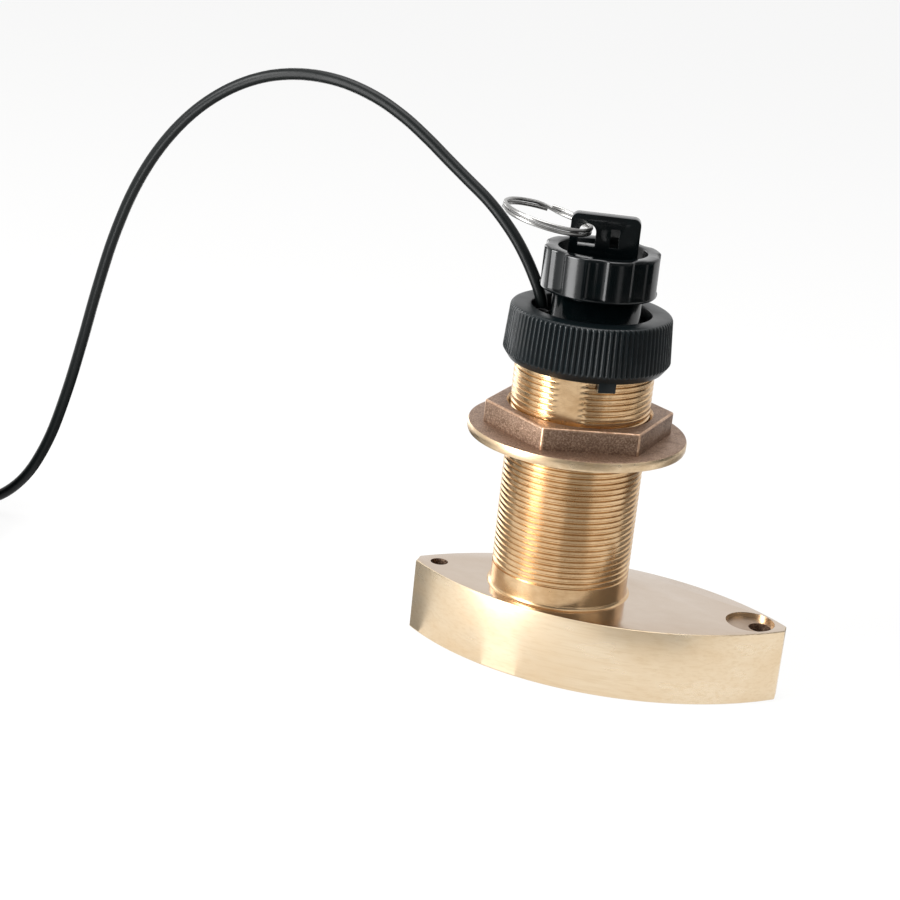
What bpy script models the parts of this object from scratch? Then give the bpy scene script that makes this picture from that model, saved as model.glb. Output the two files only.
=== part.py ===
# Through-hull sonar transducer: a bronze housing with a threaded stem, its hull nut and ring nut,
# and a removable paddlewheel insert held by a lobed cap nut, with a pull ring and a cable.
# Metres, +Z up along the stem. The origin is under the middle of the base, on its flat underside.

import math

import bmesh
import bpy
from mathutils import Matrix, Vector

# Clearances
gap = 0.0003                    # between pieces that touch
turn_gap = 0.0003               # round pieces that turn or slide in each other

# Base: a pointed oval with cut-off tips
base_length = 0.140
base_margin = 0.0056            # base outside the stem, at each side
base_tip_width = 0.005
base_roof = 0.0085              # bronze over the sounding element's pocket
base_edge = 0.0006
screw_hole_radius = 0.0033
screw_hole_inset = 0.0084       # from the blunt tip, on the stem's side
bolt_hole_radius = 0.0041
bolt_hole_inset = 0.0094        # from the far tip
bolt_recess_radius = 0.0090
bolt_recess_inset = 0.0131
bolt_recess_depth = 0.0016

# Stem, cast with the base
stem_x = -0.0155
stem_wall = 0.0115              # outside the insert, its liner included
stem_length = 0.0985
foot_fillet = 0.0015
stem_chamfer = 0.0010
flat_depth = 0.00066            # two milled flats near the top
flat_length = 0.031

# Bore for the insert, set off from the stem's axis to leave room for the cable
bore_offset = 0.0013
well_step = 0.0015              # from the liner's seat up to the wiring chamber
wiring_wall = 0.0048            # stem left outside the wiring chamber
wiring_chamber_height = 0.0070

# Insert and its liner
insert_radius = 0.0139
sleeve_wall = 0.0018
sleeve_flange_inset = 0.0008    # inside the stem's outer edge
sleeve_flange_thickness = 0.0023
neck_length = 0.0163
gasket_thickness = 0.0010
gasket_width = 0.0030
insert_foot = 0.0006
insert_flange_reach = 0.0020    # outside the insert
insert_flange_thickness = 0.0024
boss_inset = 0.0009             # inside the insert's outside
o_ring_radius = 0.0009
low_o_ring_rise = 0.010         # above the liner's foot
high_o_ring_drops = (0.0202, 0.0122)     # below the neck's top

# Handle on the insert, and its ring
handle_inset = 0.00155          # from the insert's outside to the handle's end
handle_thickness = 0.0050
handle_height = 0.0164
handle_corner = 0.0026
handle_edge = 0.0005
handle_turn = math.radians(10)
arch_width = 0.0061
arch_inset = 0.00305            # leg between the arch and the handle's end
arch_low = 0.0050
arch_high = 0.0130
slot_width = 0.0031
slot_place = 0.0020             # from the handle's middle
slot_low = 0.0052
slot_high = 0.0120
ring_radius = 0.0159
ring_wire = 0.0015
ring_tilt = math.radians(10.9)
ring_seat = 0.0103              # the wire's height in the arch, above the boss
ring_shift = 0.00105            # from the middle of the arch
ring_turns = 1.94

# Ribbed ring nut
ring_nut_height = 0.0200
ring_nut_low_wall = 0.0050      # outside the stem, at the ribs' low ends
ring_nut_top_wall = 0.0039
ring_nut_foot_wall = 0.0028
ring_nut_chamfer = 0.0034
ring_nut_round = 0.0014
ring_nut_lip = 0.0040
ring_nut_hole_inset = 0.00375   # inside the stem's outer edge
rib_count = 90
rib_depth = 0.00055
lug_width = 0.0065
lug_height = 0.0030
lug_thickness = 0.0021
lug_turn = math.radians(-62)

# Lobed cap nut
cap_wall = 0.0071               # outside the insert
cap_height = 0.0153
cap_lip = 0.0026
cap_recess_reach = 0.00205      # outside the insert
cap_recess_depth = 0.0045
cap_edge = 0.0007
lobe_count = 8
lobe_turn = math.radians(30)
flute_radius = 0.0050
flute_depth = 0.0015
flute_low = 0.0013              # plain rim under the flutes
flute_high = 0.0020             # plain rim over them

# Hull nut: hexagon and round flange in one casting
hull_gap = 0.058                # room for the hull between base and nut
hull_flange_reach = 0.0146      # outside the stem
hull_flange_thickness = 0.0040
hull_flange_round = 0.0008
hex_corner_reach = 0.00935      # outside the stem
hex_height = 0.0081
hex_turn = math.radians(20.2)
hex_edge = 0.0006

# Paddlewheel
wheel_radius = 0.0096
wheel_width = 0.0094
wheel_low = 0.0008              # lowest blade tip over the underside
wheel_side_gap = 0.0005
hub_radius = 0.0036
arm_count = 4
arm_thickness = 0.0034
arm_sweep = math.radians(24)
axle_radius = 0.0012
axle_inset = 0.0014             # from the insert's outside to the axle's end
magnet_radius = 0.00075
magnet_length = 0.0060
magnet_place = 0.0062

# Sounding element in the base
pocket_x = 0.0225
pocket_radius = 0.0150
pocket_head = 0.0004            # over the cork
potting_wall = 0.0008
window_thickness = 0.0052
ceramic_radius = 0.0112
ceramic_thickness = 0.0090
ceramic_shift = 0.0022
cork_thickness = 0.0035
sensor_size = (0.0026, 0.0040, 0.0055)
sensor_inset = 0.0004
wire_hole_radius = 0.0017
wire_drop = 0.0022              # from the pocket's roof to the wire
wire_lift = 0.0004              # from the wiring chamber's floor to the wire
button_x = 0.045
button_radius = 0.0022
button_length = 0.0073

# Cable
cable_radius = 0.0022
cable_hole_radius = 0.0026
cable_hole_inset = 0.0071       # from the stem's outer edge to the hole's middle
cable_hole_side = 0.0008
gland_depth = 0.008
gland_collar_radius = 0.0028
gland_tip_radius = 0.00245
gland_height = 0.0042
lead_radius = 0.0009
coil_middle_radius = 0.0345
coil_width = 0.0283
coil_height = 0.03555
coil_tail_height = 0.0120       # where the cable's end leaves the coil's side
tie_thickness = 0.0008
tie_width = 0.0060

# Plug
plug_height = 0.0097
plug_start = 0.0164             # along the tail from the coil's middle
boot_length = 0.024
boot_radius = 0.0068
boot_tip_radius = 0.0031
plug_length = 0.020
plug_radius = 0.0082
collar_length = 0.014
collar_radius = 0.0092
collar_ribs = 24
plug_nose_radius = 0.0064
pin_radius = 0.0006
pin_circle = 0.0034
pin_length = 0.0060
pin_count = 5

# Route of the cable from its gland to the coil
cable_route = [
    (-0.0338, 0.0008, 0.1313), (-0.0346, 0.0010, 0.1342), (-0.0359, 0.0012, 0.1375),
    (-0.0378, 0.0013, 0.1412), (-0.0415, 0.0019, 0.1473), (-0.0463, 0.0028, 0.1538),
    (-0.0521, 0.0039, 0.1600), (-0.0591, 0.0053, 0.1661), (-0.0675, 0.0068, 0.1719),
    (-0.0759, 0.0083, 0.1777), (-0.0848, 0.0098, 0.1840), (-0.0950, 0.0112, 0.1904),
    (-0.1070, 0.0125, 0.1959), (-0.1210, 0.0136, 0.1994), (-0.1360, 0.0142, 0.1998),
    (-0.1510, 0.0149, 0.1966), (-0.1655, 0.0158, 0.1894), (-0.1790, 0.0169, 0.1785),
    (-0.1910, 0.0181, 0.1640), (-0.2010, 0.0194, 0.1465), (-0.2090, 0.0207, 0.1260),
    (-0.2155, 0.0220, 0.1035), (-0.2215, 0.0234, 0.0800), (-0.2280, 0.0249, 0.0570),
    (-0.2355, 0.0264, 0.0360), (-0.2455, 0.0278, 0.0185), (-0.2585, 0.0287, 0.0070),
    (-0.2740, 0.0291, 0.0029), (-0.2900, 0.0292, 0.0023),
]

# Sizes, heights and places that follow from those above
stem_radius = insert_radius + stem_wall
boss_radius = insert_radius - boss_inset
insert_flange_radius = insert_radius + insert_flange_reach
cap_radius = insert_radius + cap_wall
cap_recess_radius = insert_radius + cap_recess_reach
handle_length = 2 * (insert_radius - handle_inset)
axle_length = 2 * (insert_radius - axle_inset)
pocket_depth = window_thickness + ceramic_thickness + cork_thickness + 3 * gap + pocket_head
base_height = pocket_depth + base_roof
wire_height = pocket_depth - wire_drop
wiring_chamber_low = wire_height - lead_radius - wire_lift
wiring_chamber_high = wiring_chamber_low + wiring_chamber_height
well_depth = wiring_chamber_low - well_step
base_width = 2 * (stem_radius + base_margin)
wiring_chamber_radius = stem_radius - wiring_wall
bore_x = stem_x + bore_offset
sleeve_inner = insert_radius + turn_gap
sleeve_outer = sleeve_inner + sleeve_wall
bore_radius = sleeve_outer + turn_gap
stem_top = base_height + stem_length
gasket_low = stem_top + gap
flange_low = gasket_low + gasket_thickness + gap
flange_top = flange_low + sleeve_flange_thickness
lip_low = flange_top + gap
ring_nut_top = lip_low + ring_nut_lip
ring_nut_low = ring_nut_top - ring_nut_height
ring_nut_low_radius = stem_radius + ring_nut_low_wall
ring_nut_top_radius = stem_radius + ring_nut_top_wall
ring_nut_foot_radius = stem_radius + ring_nut_foot_wall
ring_nut_hole = stem_radius - ring_nut_hole_inset
sleeve_flange_radius = stem_radius - sleeve_flange_inset
neck_top = flange_top + neck_length
o_ring_heights = [well_depth + low_o_ring_rise] + [neck_top - drop for drop in high_o_ring_drops]
insert_flange_low = neck_top + gap
insert_flange_top = insert_flange_low + insert_flange_thickness
cap_lip_low = insert_flange_top + gap
cap_lip_top = cap_lip_low + cap_lip
cap_top = cap_lip_top + cap_recess_depth
cap_low = cap_top - cap_height
boss_top = cap_lip_top + 0.0002
hull_nut_low = base_height + hull_gap
hex_low = hull_nut_low + hull_flange_thickness
hull_nut_top = hex_low + hex_height
nut_bore_radius = stem_radius + turn_gap
hull_flange_radius = stem_radius + hull_flange_reach
hex_corner_radius = stem_radius + hex_corner_reach
axle_z = wheel_low + wheel_radius
handle_x = Vector((math.cos(handle_turn), math.sin(handle_turn), 0))
arch_middle = -handle_length / 2 + arch_inset + arch_width / 2
ring_place = arch_middle + ring_shift
ring_pivot_z = boss_top + ring_seat
cable_x = stem_x - stem_radius + cable_hole_inset
cable_y = cable_hole_side
coil_outer_radius = coil_middle_radius + coil_width / 2
coil_side_radius = coil_outer_radius + gap + cable_radius
coil_x = cable_route[-1][0]
coil_y = cable_route[-1][1] - coil_side_radius

round_steps = 48
middle_steps = 36
small_steps = 24


# Blender helpers

def make_material(name, colour, roughness, metallic=0.0):
    material = bpy.data.materials.new(name)
    material.use_nodes = True
    shader = material.node_tree.nodes["Principled BSDF"]
    shader.inputs["Base Color"].default_value = (*colour, 1.0)
    shader.inputs["Roughness"].default_value = roughness
    shader.inputs["Metallic"].default_value = metallic
    return material


def add_object(name, bm, material=None):
    bmesh.ops.recalc_face_normals(bm, faces=bm.faces[:])
    mesh = bpy.data.meshes.new(name)
    bm.to_mesh(mesh)
    bm.free()
    mesh.shade_smooth()
    mesh.set_sharp_from_angle(angle=math.radians(32))
    part = bpy.data.objects.new(name, mesh)
    bpy.context.scene.collection.objects.link(part)
    if material:
        mesh.materials.append(material)
    return part


def add_helper(name, bm):
    helper = add_object(name, bm)
    helper.hide_render = True
    helper.display_type = "WIRE"
    return helper


def combine(part, operation, helper):
    boolean = part.modifiers.new(helper.name, "BOOLEAN")
    boolean.operation = operation
    boolean.object = helper


def cut(part, helper):
    combine(part, "DIFFERENCE", helper)


def fuse(part, helper):
    combine(part, "UNION", helper)


def bevel_edges(part, width, segments=2):
    bevel = part.modifiers.new("edges", "BEVEL")
    bevel.width = width
    bevel.segments = segments
    bevel.limit_method = "ANGLE"
    bevel.angle_limit = math.radians(40)


# Shapes

def lathe(profile, x=0.0, y=0.0, steps=round_steps):
    """Turn a profile of (radius, height) points round the vertical through (x, y)."""
    bm = bmesh.new()
    points = [bm.verts.new((radius, 0, height)) for radius, height in profile]
    lines = [bm.edges.new(pair) for pair in zip(points, points[1:])]
    if profile[0][0] > 0:
        lines.append(bm.edges.new((points[-1], points[0])))
    bmesh.ops.spin(bm, geom=points + lines, cent=(0, 0, 0), axis=(0, 0, 1), angle=2 * math.pi,
                   steps=steps, use_merge=True, use_duplicate=False)
    bmesh.ops.remove_doubles(bm, verts=bm.verts[:], dist=1e-7)
    bmesh.ops.translate(bm, verts=bm.verts[:], vec=(x, y, 0))
    return bm


def cylinder(radius, low, high, x=0.0, y=0.0, steps=small_steps):
    return lathe([(0, low), (radius, low), (radius, high), (0, high)], x, y, steps)


def tube(inner, outer, low, high, x=0.0, y=0.0, steps=round_steps):
    return lathe([(inner, low), (outer, low), (outer, high), (inner, high)], x, y, steps)


def block(low_corner, high_corner):
    bm = bmesh.new()
    bmesh.ops.create_cube(bm, size=1.0)
    low_corner = Vector(low_corner)
    size = Vector(high_corner) - low_corner
    bmesh.ops.scale(bm, vec=size, verts=bm.verts[:])
    bmesh.ops.translate(bm, vec=low_corner + size / 2, verts=bm.verts[:])
    return bm


def prism(outline, low, high):
    """Raise a flat outline of (x, y) points from one height to another."""
    bm = bmesh.new()
    face = bm.faces.new([bm.verts.new((x, y, low)) for x, y in outline])
    raised = bmesh.ops.extrude_face_region(bm, geom=[face])
    moved = [item for item in raised["geom"] if isinstance(item, bmesh.types.BMVert)]
    bmesh.ops.translate(bm, vec=(0, 0, high - low), verts=moved)
    return bm


def arc(x, y, radius, start, end, steps):
    return [(x + radius * math.cos(angle), y + radius * math.sin(angle))
            for angle in (start + (end - start) * i / steps for i in range(steps + 1))]


def stand_up(bm):
    """Turn an outline drawn in x and y so that its y runs up, and its thickness along -Y."""
    bmesh.ops.rotate(bm, verts=bm.verts[:], cent=(0, 0, 0), matrix=Matrix.Rotation(math.pi / 2, 3, "X"))


def place_on_handle(bm):
    bmesh.ops.rotate(bm, verts=bm.verts[:], cent=(0, 0, 0), matrix=Matrix.Rotation(handle_turn, 3, "Z"))
    bmesh.ops.translate(bm, verts=bm.verts[:], vec=(bore_x, 0, boss_top))


def smooth_route(points, spacing):
    """Read evenly spaced points from a smooth curve through the route's own points."""
    points = [Vector(point) for point in points]
    ends = [2 * points[0] - points[1]] + points + [2 * points[-1] - points[-2]]
    fine = []
    for before, start, end, after in zip(ends, ends[1:], ends[2:], ends[3:]):
        for step in range(8):
            t = step / 8
            fine.append(0.5 * (2 * start + (end - before) * t
                               + (2 * before - 5 * start + 4 * end - after) * t ** 2
                               + (3 * start - before - 3 * end + after) * t ** 3))
    fine.append(points[-1])
    length = sum((b - a).length for a, b in zip(fine, fine[1:]))
    count = max(2, round(length / spacing))
    even = [fine[0]]
    walked = 0.0
    for a, b in zip(fine, fine[1:]):
        stretch = (b - a).length
        while len(even) < count and walked + stretch >= len(even) * length / count:
            even.append(a.lerp(b, (len(even) * length / count - walked) / stretch))
        walked += stretch
    even.append(fine[-1])
    return even


def add_tube_along(name, points, radius, material, resolution=2):
    curve = bpy.data.curves.new(name, "CURVE")
    curve.dimensions = "3D"
    curve.bevel_depth = radius
    curve.bevel_resolution = resolution
    curve.use_fill_caps = True
    spline = curve.splines.new("POLY")
    spline.points.add(len(points) - 1)
    for spot, point in zip(spline.points, points):
        spot.co = (*point, 1.0)
    curve.materials.append(material)
    part = bpy.data.objects.new(name, curve)
    bpy.context.scene.collection.objects.link(part)
    return part


def base_outline():
    half = base_length / 2
    rise = (base_width - base_tip_width) / 2
    side_radius = (half ** 2 + rise ** 2) / (2 * rise)
    centre = base_width / 2 - side_radius
    swing = math.asin(half / side_radius)
    right_angle = math.pi / 2
    far_side = arc(0, centre, side_radius, right_angle - swing, right_angle + swing, 22)
    near_side = [(-x, -y) for x, y in far_side]
    return far_side + near_side


# Bronze pieces

def make_housing(bronze):
    housing = add_object("housing", prism(base_outline(), 0, base_height), bronze)
    bevel_edges(housing, base_edge, 1)
    foot = [(stem_radius + foot_fillet * (1 - math.cos(a)), base_height + foot_fillet * (1 - math.sin(a)))
            for a in (math.radians(degrees) for degrees in (70, 35, 0))]
    stem_low = base_height / 2
    profile = [(0, stem_low), (foot[0][0], stem_low)] + foot
    profile += [(stem_radius, stem_top - stem_chamfer), (stem_radius - stem_chamfer, stem_top), (0, stem_top)]
    fuse(housing, add_helper("stem_form", lathe(profile, stem_x)))
    below = -0.001
    above = stem_top + 0.001
    bore = [(0, below), (sleeve_inner, below), (sleeve_inner, well_depth), (bore_radius, well_depth),
            (bore_radius, above), (0, above)]
    cut(housing, add_helper("bore_cutter", lathe(bore, bore_x)))
    chamber = cylinder(wiring_chamber_radius, wiring_chamber_low, wiring_chamber_high, stem_x, 0, round_steps)
    cut(housing, add_helper("wiring_chamber_cutter", chamber))
    cable_hole = cylinder(cable_hole_radius, wiring_chamber_low + 0.002, above, cable_x, cable_y)
    cut(housing, add_helper("cable_hole_cutter", cable_hole))
    for side in (-1, 1):
        depth = stem_radius - flat_depth
        near, far = sorted((side * depth, side * (stem_radius + 0.002)))
        flat = block((stem_x - stem_radius, near, stem_top - flat_length), (stem_x + stem_radius, far, above))
        cut(housing, add_helper("flat_cutter", flat))
    half = base_length / 2
    over = base_height + 0.001
    screw_hole = cylinder(screw_hole_radius, below, over, screw_hole_inset - half)
    cut(housing, add_helper("screw_hole_cutter", screw_hole))
    recess = cylinder(bolt_recess_radius, base_height - bolt_recess_depth, over, half - bolt_recess_inset, 0,
                      middle_steps)
    cut(housing, add_helper("bolt_recess_cutter", recess))
    bolt_hole = cylinder(bolt_hole_radius, below, over, half - bolt_hole_inset)
    cut(housing, add_helper("bolt_hole_cutter", bolt_hole))
    pocket = cylinder(pocket_radius, below, pocket_depth, pocket_x, 0, middle_steps)
    cut(housing, add_helper("pocket_cutter", pocket))
    channel = cylinder(wire_hole_radius, 0, pocket_x - stem_x, 0, 0, 12)
    bmesh.ops.rotate(channel, verts=channel.verts[:], cent=(0, 0, 0), matrix=Matrix.Rotation(math.pi / 2, 3, "Y"))
    bmesh.ops.translate(channel, verts=channel.verts[:],
                        vec=(stem_x + sleeve_outer, 0, wire_height + 0.0005))
    cut(housing, add_helper("channel_cutter", channel))
    button_hole = cylinder(button_radius + gap, below, button_length + 2 * gap, button_x, 0, 16)
    cut(housing, add_helper("button_hole_cutter", button_hole))


def make_hull_nut(bronze):
    rim = hull_flange_round
    flange = [(0, hull_nut_low), (hull_flange_radius - rim, hull_nut_low), (hull_flange_radius, hull_nut_low + rim),
              (hull_flange_radius, hex_low - rim), (hull_flange_radius - rim, hex_low), (0, hex_low)]
    nut = add_object("hull_nut", lathe(flange, stem_x, 0, 60), bronze)
    corners = [(stem_x + hex_corner_radius * math.cos(hex_turn + k * math.pi / 3),
                hex_corner_radius * math.sin(hex_turn + k * math.pi / 3)) for k in range(6)]
    hexagon = add_helper("hexagon_form", prism(corners, hex_low - hull_flange_thickness / 2, hull_nut_top))
    bevel_edges(hexagon, hex_edge, 1)
    fuse(nut, hexagon)
    bore = cylinder(nut_bore_radius, hull_nut_low - 0.001, hull_nut_top + 0.001, stem_x, 0, round_steps)
    cut(nut, add_helper("hull_nut_bore", bore))


# Black mouldings

def ribbed_outline(radius, depth, count):
    """Ribs with flat crests and sharp valleys."""
    outline = []
    for rib in range(count):
        for share, reach in ((0.0, radius), (0.42, radius), (0.71, radius - depth)):
            angle = 2 * math.pi * (rib + share) / count
            outline.append((reach * math.cos(angle), reach * math.sin(angle)))
    return outline


def make_ring_nut(plastic):
    foot = (ring_nut_foot_radius, ring_nut_low)
    rib_low = (ring_nut_low_radius, ring_nut_low + ring_nut_chamfer)
    rib_high = (ring_nut_top_radius, ring_nut_top - ring_nut_round)
    top = (ring_nut_top_radius - ring_nut_round, ring_nut_top)
    bm = bmesh.new()
    rings = []
    for (radius, height), depth in ((foot, 0.0), (rib_low, rib_depth), (rib_high, rib_depth), (top, 0.0)):
        rings.append([bm.verts.new((stem_x + x, y, height)) for x, y in ribbed_outline(radius, depth, rib_count)])
    bm.faces.new(rings[0])
    bm.faces.new(rings[-1])
    for lower, upper in zip(rings, rings[1:]):
        edges = [bm.edges.get(pair) or bm.edges.new(pair)
                 for ring in (lower, upper) for pair in zip(ring, ring[1:] + ring[:1])]
        bmesh.ops.bridge_loops(bm, edges=edges)
    nut = add_object("ring_nut", bm, plastic)
    lug = block((stem_radius + 2 * turn_gap, -lug_width / 2, ring_nut_low - lug_height),
                (stem_radius + 2 * turn_gap + lug_thickness, lug_width / 2, ring_nut_low + 0.001))
    bmesh.ops.rotate(lug, verts=lug.verts[:], cent=(0, 0, 0), matrix=Matrix.Rotation(lug_turn, 3, "Z"))
    bmesh.ops.translate(lug, verts=lug.verts[:], vec=(stem_x, 0, 0))
    fuse(nut, add_helper("lug_form", lug))
    low = ring_nut_low - 0.001
    hollow = [(0, low), (nut_bore_radius, low), (nut_bore_radius, lip_low), (ring_nut_hole, lip_low),
              (ring_nut_hole, ring_nut_top + 0.001), (0, ring_nut_top + 0.001)]
    cut(nut, add_helper("ring_nut_hollow", lathe(hollow, stem_x)))


def make_sleeve(plastic, rubber):
    seat = well_depth + gap
    sleeve = add_object("insert_sleeve", cylinder(sleeve_outer, seat, neck_top, bore_x, 0, round_steps), plastic)
    disc = cylinder(sleeve_flange_radius, flange_low, flange_top, stem_x, 0, round_steps)
    fuse(sleeve, add_helper("sleeve_flange_form", disc))
    bore = cylinder(sleeve_inner, seat - 0.001, neck_top + 0.001, bore_x, 0, round_steps)
    cut(sleeve, add_helper("sleeve_bore", bore))
    notch = cylinder(gland_collar_radius + gap, flange_low - 0.001, flange_top + 0.001, cable_x, cable_y)
    cut(sleeve, add_helper("gland_notch", notch))
    outer = sleeve_flange_radius
    gasket = tube(outer - gasket_width, outer, gasket_low, gasket_low + gasket_thickness, stem_x, 0,
                  middle_steps)
    add_object("sleeve_gasket", gasket, rubber)


def make_cap_nut(plastic):
    edge = cap_edge
    outside = [(0, cap_low), (cap_radius - edge, cap_low), (cap_radius, cap_low + edge),
               (cap_radius, cap_top - edge), (cap_radius - edge, cap_top), (0, cap_top)]
    nut = add_object("cap_nut", lathe(outside, bore_x, 0, 64), plastic)
    reach = cap_radius - flute_depth + flute_radius
    dome = cap_top - flute_high - math.sqrt(flute_radius ** 2 - (flute_radius - flute_depth) ** 2)
    profile = [(0, cap_low + flute_low), (flute_radius, cap_low + flute_low)]
    profile += arc(0, dome, flute_radius, 0, math.pi / 2, 5)[:-1] + [(0, dome + flute_radius)]
    for lobe in range(lobe_count):
        angle = lobe_turn + (lobe + 0.5) * 2 * math.pi / lobe_count
        flute = lathe(profile, bore_x + reach * math.cos(angle), reach * math.sin(angle), small_steps)
        cut(nut, add_helper("flute_cutter", flute))
    neck_room = sleeve_outer + turn_gap
    low = cap_low - 0.001
    high = cap_top + 0.001
    hollow = [(0, low), (neck_room, low), (neck_room, cap_lip_low), (boss_radius + turn_gap, cap_lip_low),
              (boss_radius + turn_gap, cap_lip_top), (cap_recess_radius, cap_lip_top), (cap_recess_radius, high),
              (0, high)]
    cut(nut, add_helper("cap_hollow", lathe(hollow, bore_x)))


def make_insert(plastic, rubber):
    groove_inner = sleeve_inner - 2 * o_ring_radius - 2 * gap
    groove_half = o_ring_radius + gap
    profile = [(0, insert_foot), (insert_radius, insert_foot)]
    for height in o_ring_heights:
        profile += [(insert_radius, height - groove_half), (groove_inner, height - groove_half),
                    (groove_inner, height + groove_half), (insert_radius, height + groove_half)]
    profile += [(insert_radius, insert_flange_low), (insert_flange_radius, insert_flange_low),
                (insert_flange_radius, insert_flange_top), (boss_radius, insert_flange_top),
                (boss_radius, boss_top), (0, boss_top)]
    insert = add_object("insert_body", lathe(profile, bore_x, 0, 40), plastic)

    half = handle_length / 2
    corner = handle_corner
    outline = [(-half, -0.001), (half, -0.001)]
    outline += arc(half - corner, handle_height - corner, corner, 0, math.pi / 2, 4)
    outline += arc(corner - half, handle_height - corner, corner, math.pi / 2, math.pi, 4)
    plate = prism(outline, -handle_thickness / 2, handle_thickness / 2)
    stand_up(plate)
    place_on_handle(plate)
    plate_form = add_helper("handle_form", plate)
    bevel_edges(plate_form, handle_edge, 1)
    fuse(insert, plate_form)

    arch = arc(arch_middle, arch_high - arch_width / 2, arch_width / 2, 0, math.pi, 8)
    arch = [(arch_middle + arch_width / 2, arch_low)] + arch + [(arch_middle - arch_width / 2, arch_low)]
    slot = [(slot_place, slot_low), (slot_place + slot_width, slot_low),
            (slot_place + slot_width, slot_high), (slot_place, slot_high)]
    for name, hole in (("arch_cutter", arch), ("slot_cutter", slot)):
        window = prism(hole, -handle_thickness, handle_thickness)
        stand_up(window)
        place_on_handle(window)
        cut(insert, add_helper(name, window))

    slot_half = wheel_width / 2 + wheel_side_gap
    fork = block((bore_x - insert_radius - 0.001, -slot_half, insert_foot - 0.001),
                 (bore_x + insert_radius + 0.001, slot_half, axle_z + wheel_radius + wheel_low))
    cut(insert, add_helper("fork_cutter", fork))
    axle_hole = cylinder(axle_radius + gap, -insert_radius - 0.001, insert_radius + 0.001, 0, 0, 16)
    stand_up(axle_hole)
    bmesh.ops.translate(axle_hole, verts=axle_hole.verts[:], vec=(bore_x, 0, axle_z))
    cut(insert, add_helper("axle_hole_cutter", axle_hole))

    ring_middle = sleeve_inner - gap - o_ring_radius
    for number, height in enumerate(o_ring_heights, start=1):
        section = arc(ring_middle, height, o_ring_radius, 0, 2 * math.pi, 6)[:-1]
        add_object(f"insert_o_ring_{number}", lathe(section, bore_x, 0, 28), rubber)


def make_pull_ring(steel):
    """A flat double coil: one turn, a short step sideways, and the other turn."""
    step_start = 0.47
    step_end = 0.53
    offset = ring_wire / 2 + 0.0001
    tilt = Matrix.Rotation(ring_tilt, 3, Vector((0, 1, 0)))
    turn = Matrix.Rotation(handle_turn, 3, "Z")
    count = 66
    pivot = Vector((bore_x, 0, ring_pivot_z)) + handle_x * ring_place
    points = []
    for i in range(count + 1):
        share = i / count
        angle = math.pi / 2 + (share - 0.5) * ring_turns * 2 * math.pi
        level = min(max((share - step_start) / (step_end - step_start), 0), 1)
        side = offset * (2 * level ** 2 * (3 - 2 * level) - 1)
        point = Vector((ring_radius * math.cos(angle) - ring_radius, ring_radius * math.sin(angle), side))
        points.append(pivot + turn @ (tilt @ point))
    add_tube_along("pull_ring", points, ring_wire / 2, steel, 1)


# Paddlewheel

def wheel_outline():
    outline = []
    for arm in range(arm_count):
        middle = 2 * math.pi * arm / arm_count
        sides = []
        for side in (-1, 1):
            edge = []
            for step in range(5):
                share = step / 4
                reach = hub_radius + (wheel_radius - hub_radius) * share
                thickness = arm_thickness * (1 - 0.25 * share)
                angle = middle + arm_sweep * share ** 2 + side * math.asin(thickness / 2 / reach)
                edge.append((reach * math.cos(angle), reach * math.sin(angle)))
            sides.append(edge)
        outline += sides[0] + sides[1][::-1]
    return outline


def make_paddlewheel(plastic, steel, magnet):
    bm = prism(wheel_outline(), -wheel_width / 2, wheel_width / 2)
    stand_up(bm)
    bmesh.ops.translate(bm, verts=bm.verts[:], vec=(bore_x, 0, axle_z))
    wheel = add_object("paddlewheel", bm, plastic)
    hole = cylinder(axle_radius + gap, -wheel_width, wheel_width, 0, 0, 16)
    stand_up(hole)
    bmesh.ops.translate(hole, verts=hole.verts[:], vec=(bore_x, 0, axle_z))
    cut(wheel, add_helper("hub_bore", hole))
    for arm in range(arm_count):
        share = (magnet_place - hub_radius) / (wheel_radius - hub_radius)
        angle = 2 * math.pi * arm / arm_count + arm_sweep * share ** 2
        x = bore_x + magnet_place * math.cos(angle)
        z = axle_z + magnet_place * math.sin(angle)
        side = -wheel_width / 2
        seat = cylinder(magnet_radius + gap, -side - magnet_length - 2 * gap, -side + 0.001, 0, 0, 10)
        slug = cylinder(magnet_radius, -side - magnet_length - gap, -side - gap, 0, 0, 10)
        for shape in (seat, slug):
            stand_up(shape)
            bmesh.ops.translate(shape, verts=shape.verts[:], vec=(x, 0, z))
        cut(wheel, add_helper("magnet_seat", seat))
        add_object(f"wheel_magnet_{arm + 1}", slug, magnet)
    axle = cylinder(axle_radius, -axle_length / 2, axle_length / 2, 0, 0, 16)
    stand_up(axle)
    bmesh.ops.translate(axle, verts=axle.verts[:], vec=(bore_x, 0, axle_z))
    add_object("paddlewheel_axle", axle, steel)


# Sounding element

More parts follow.
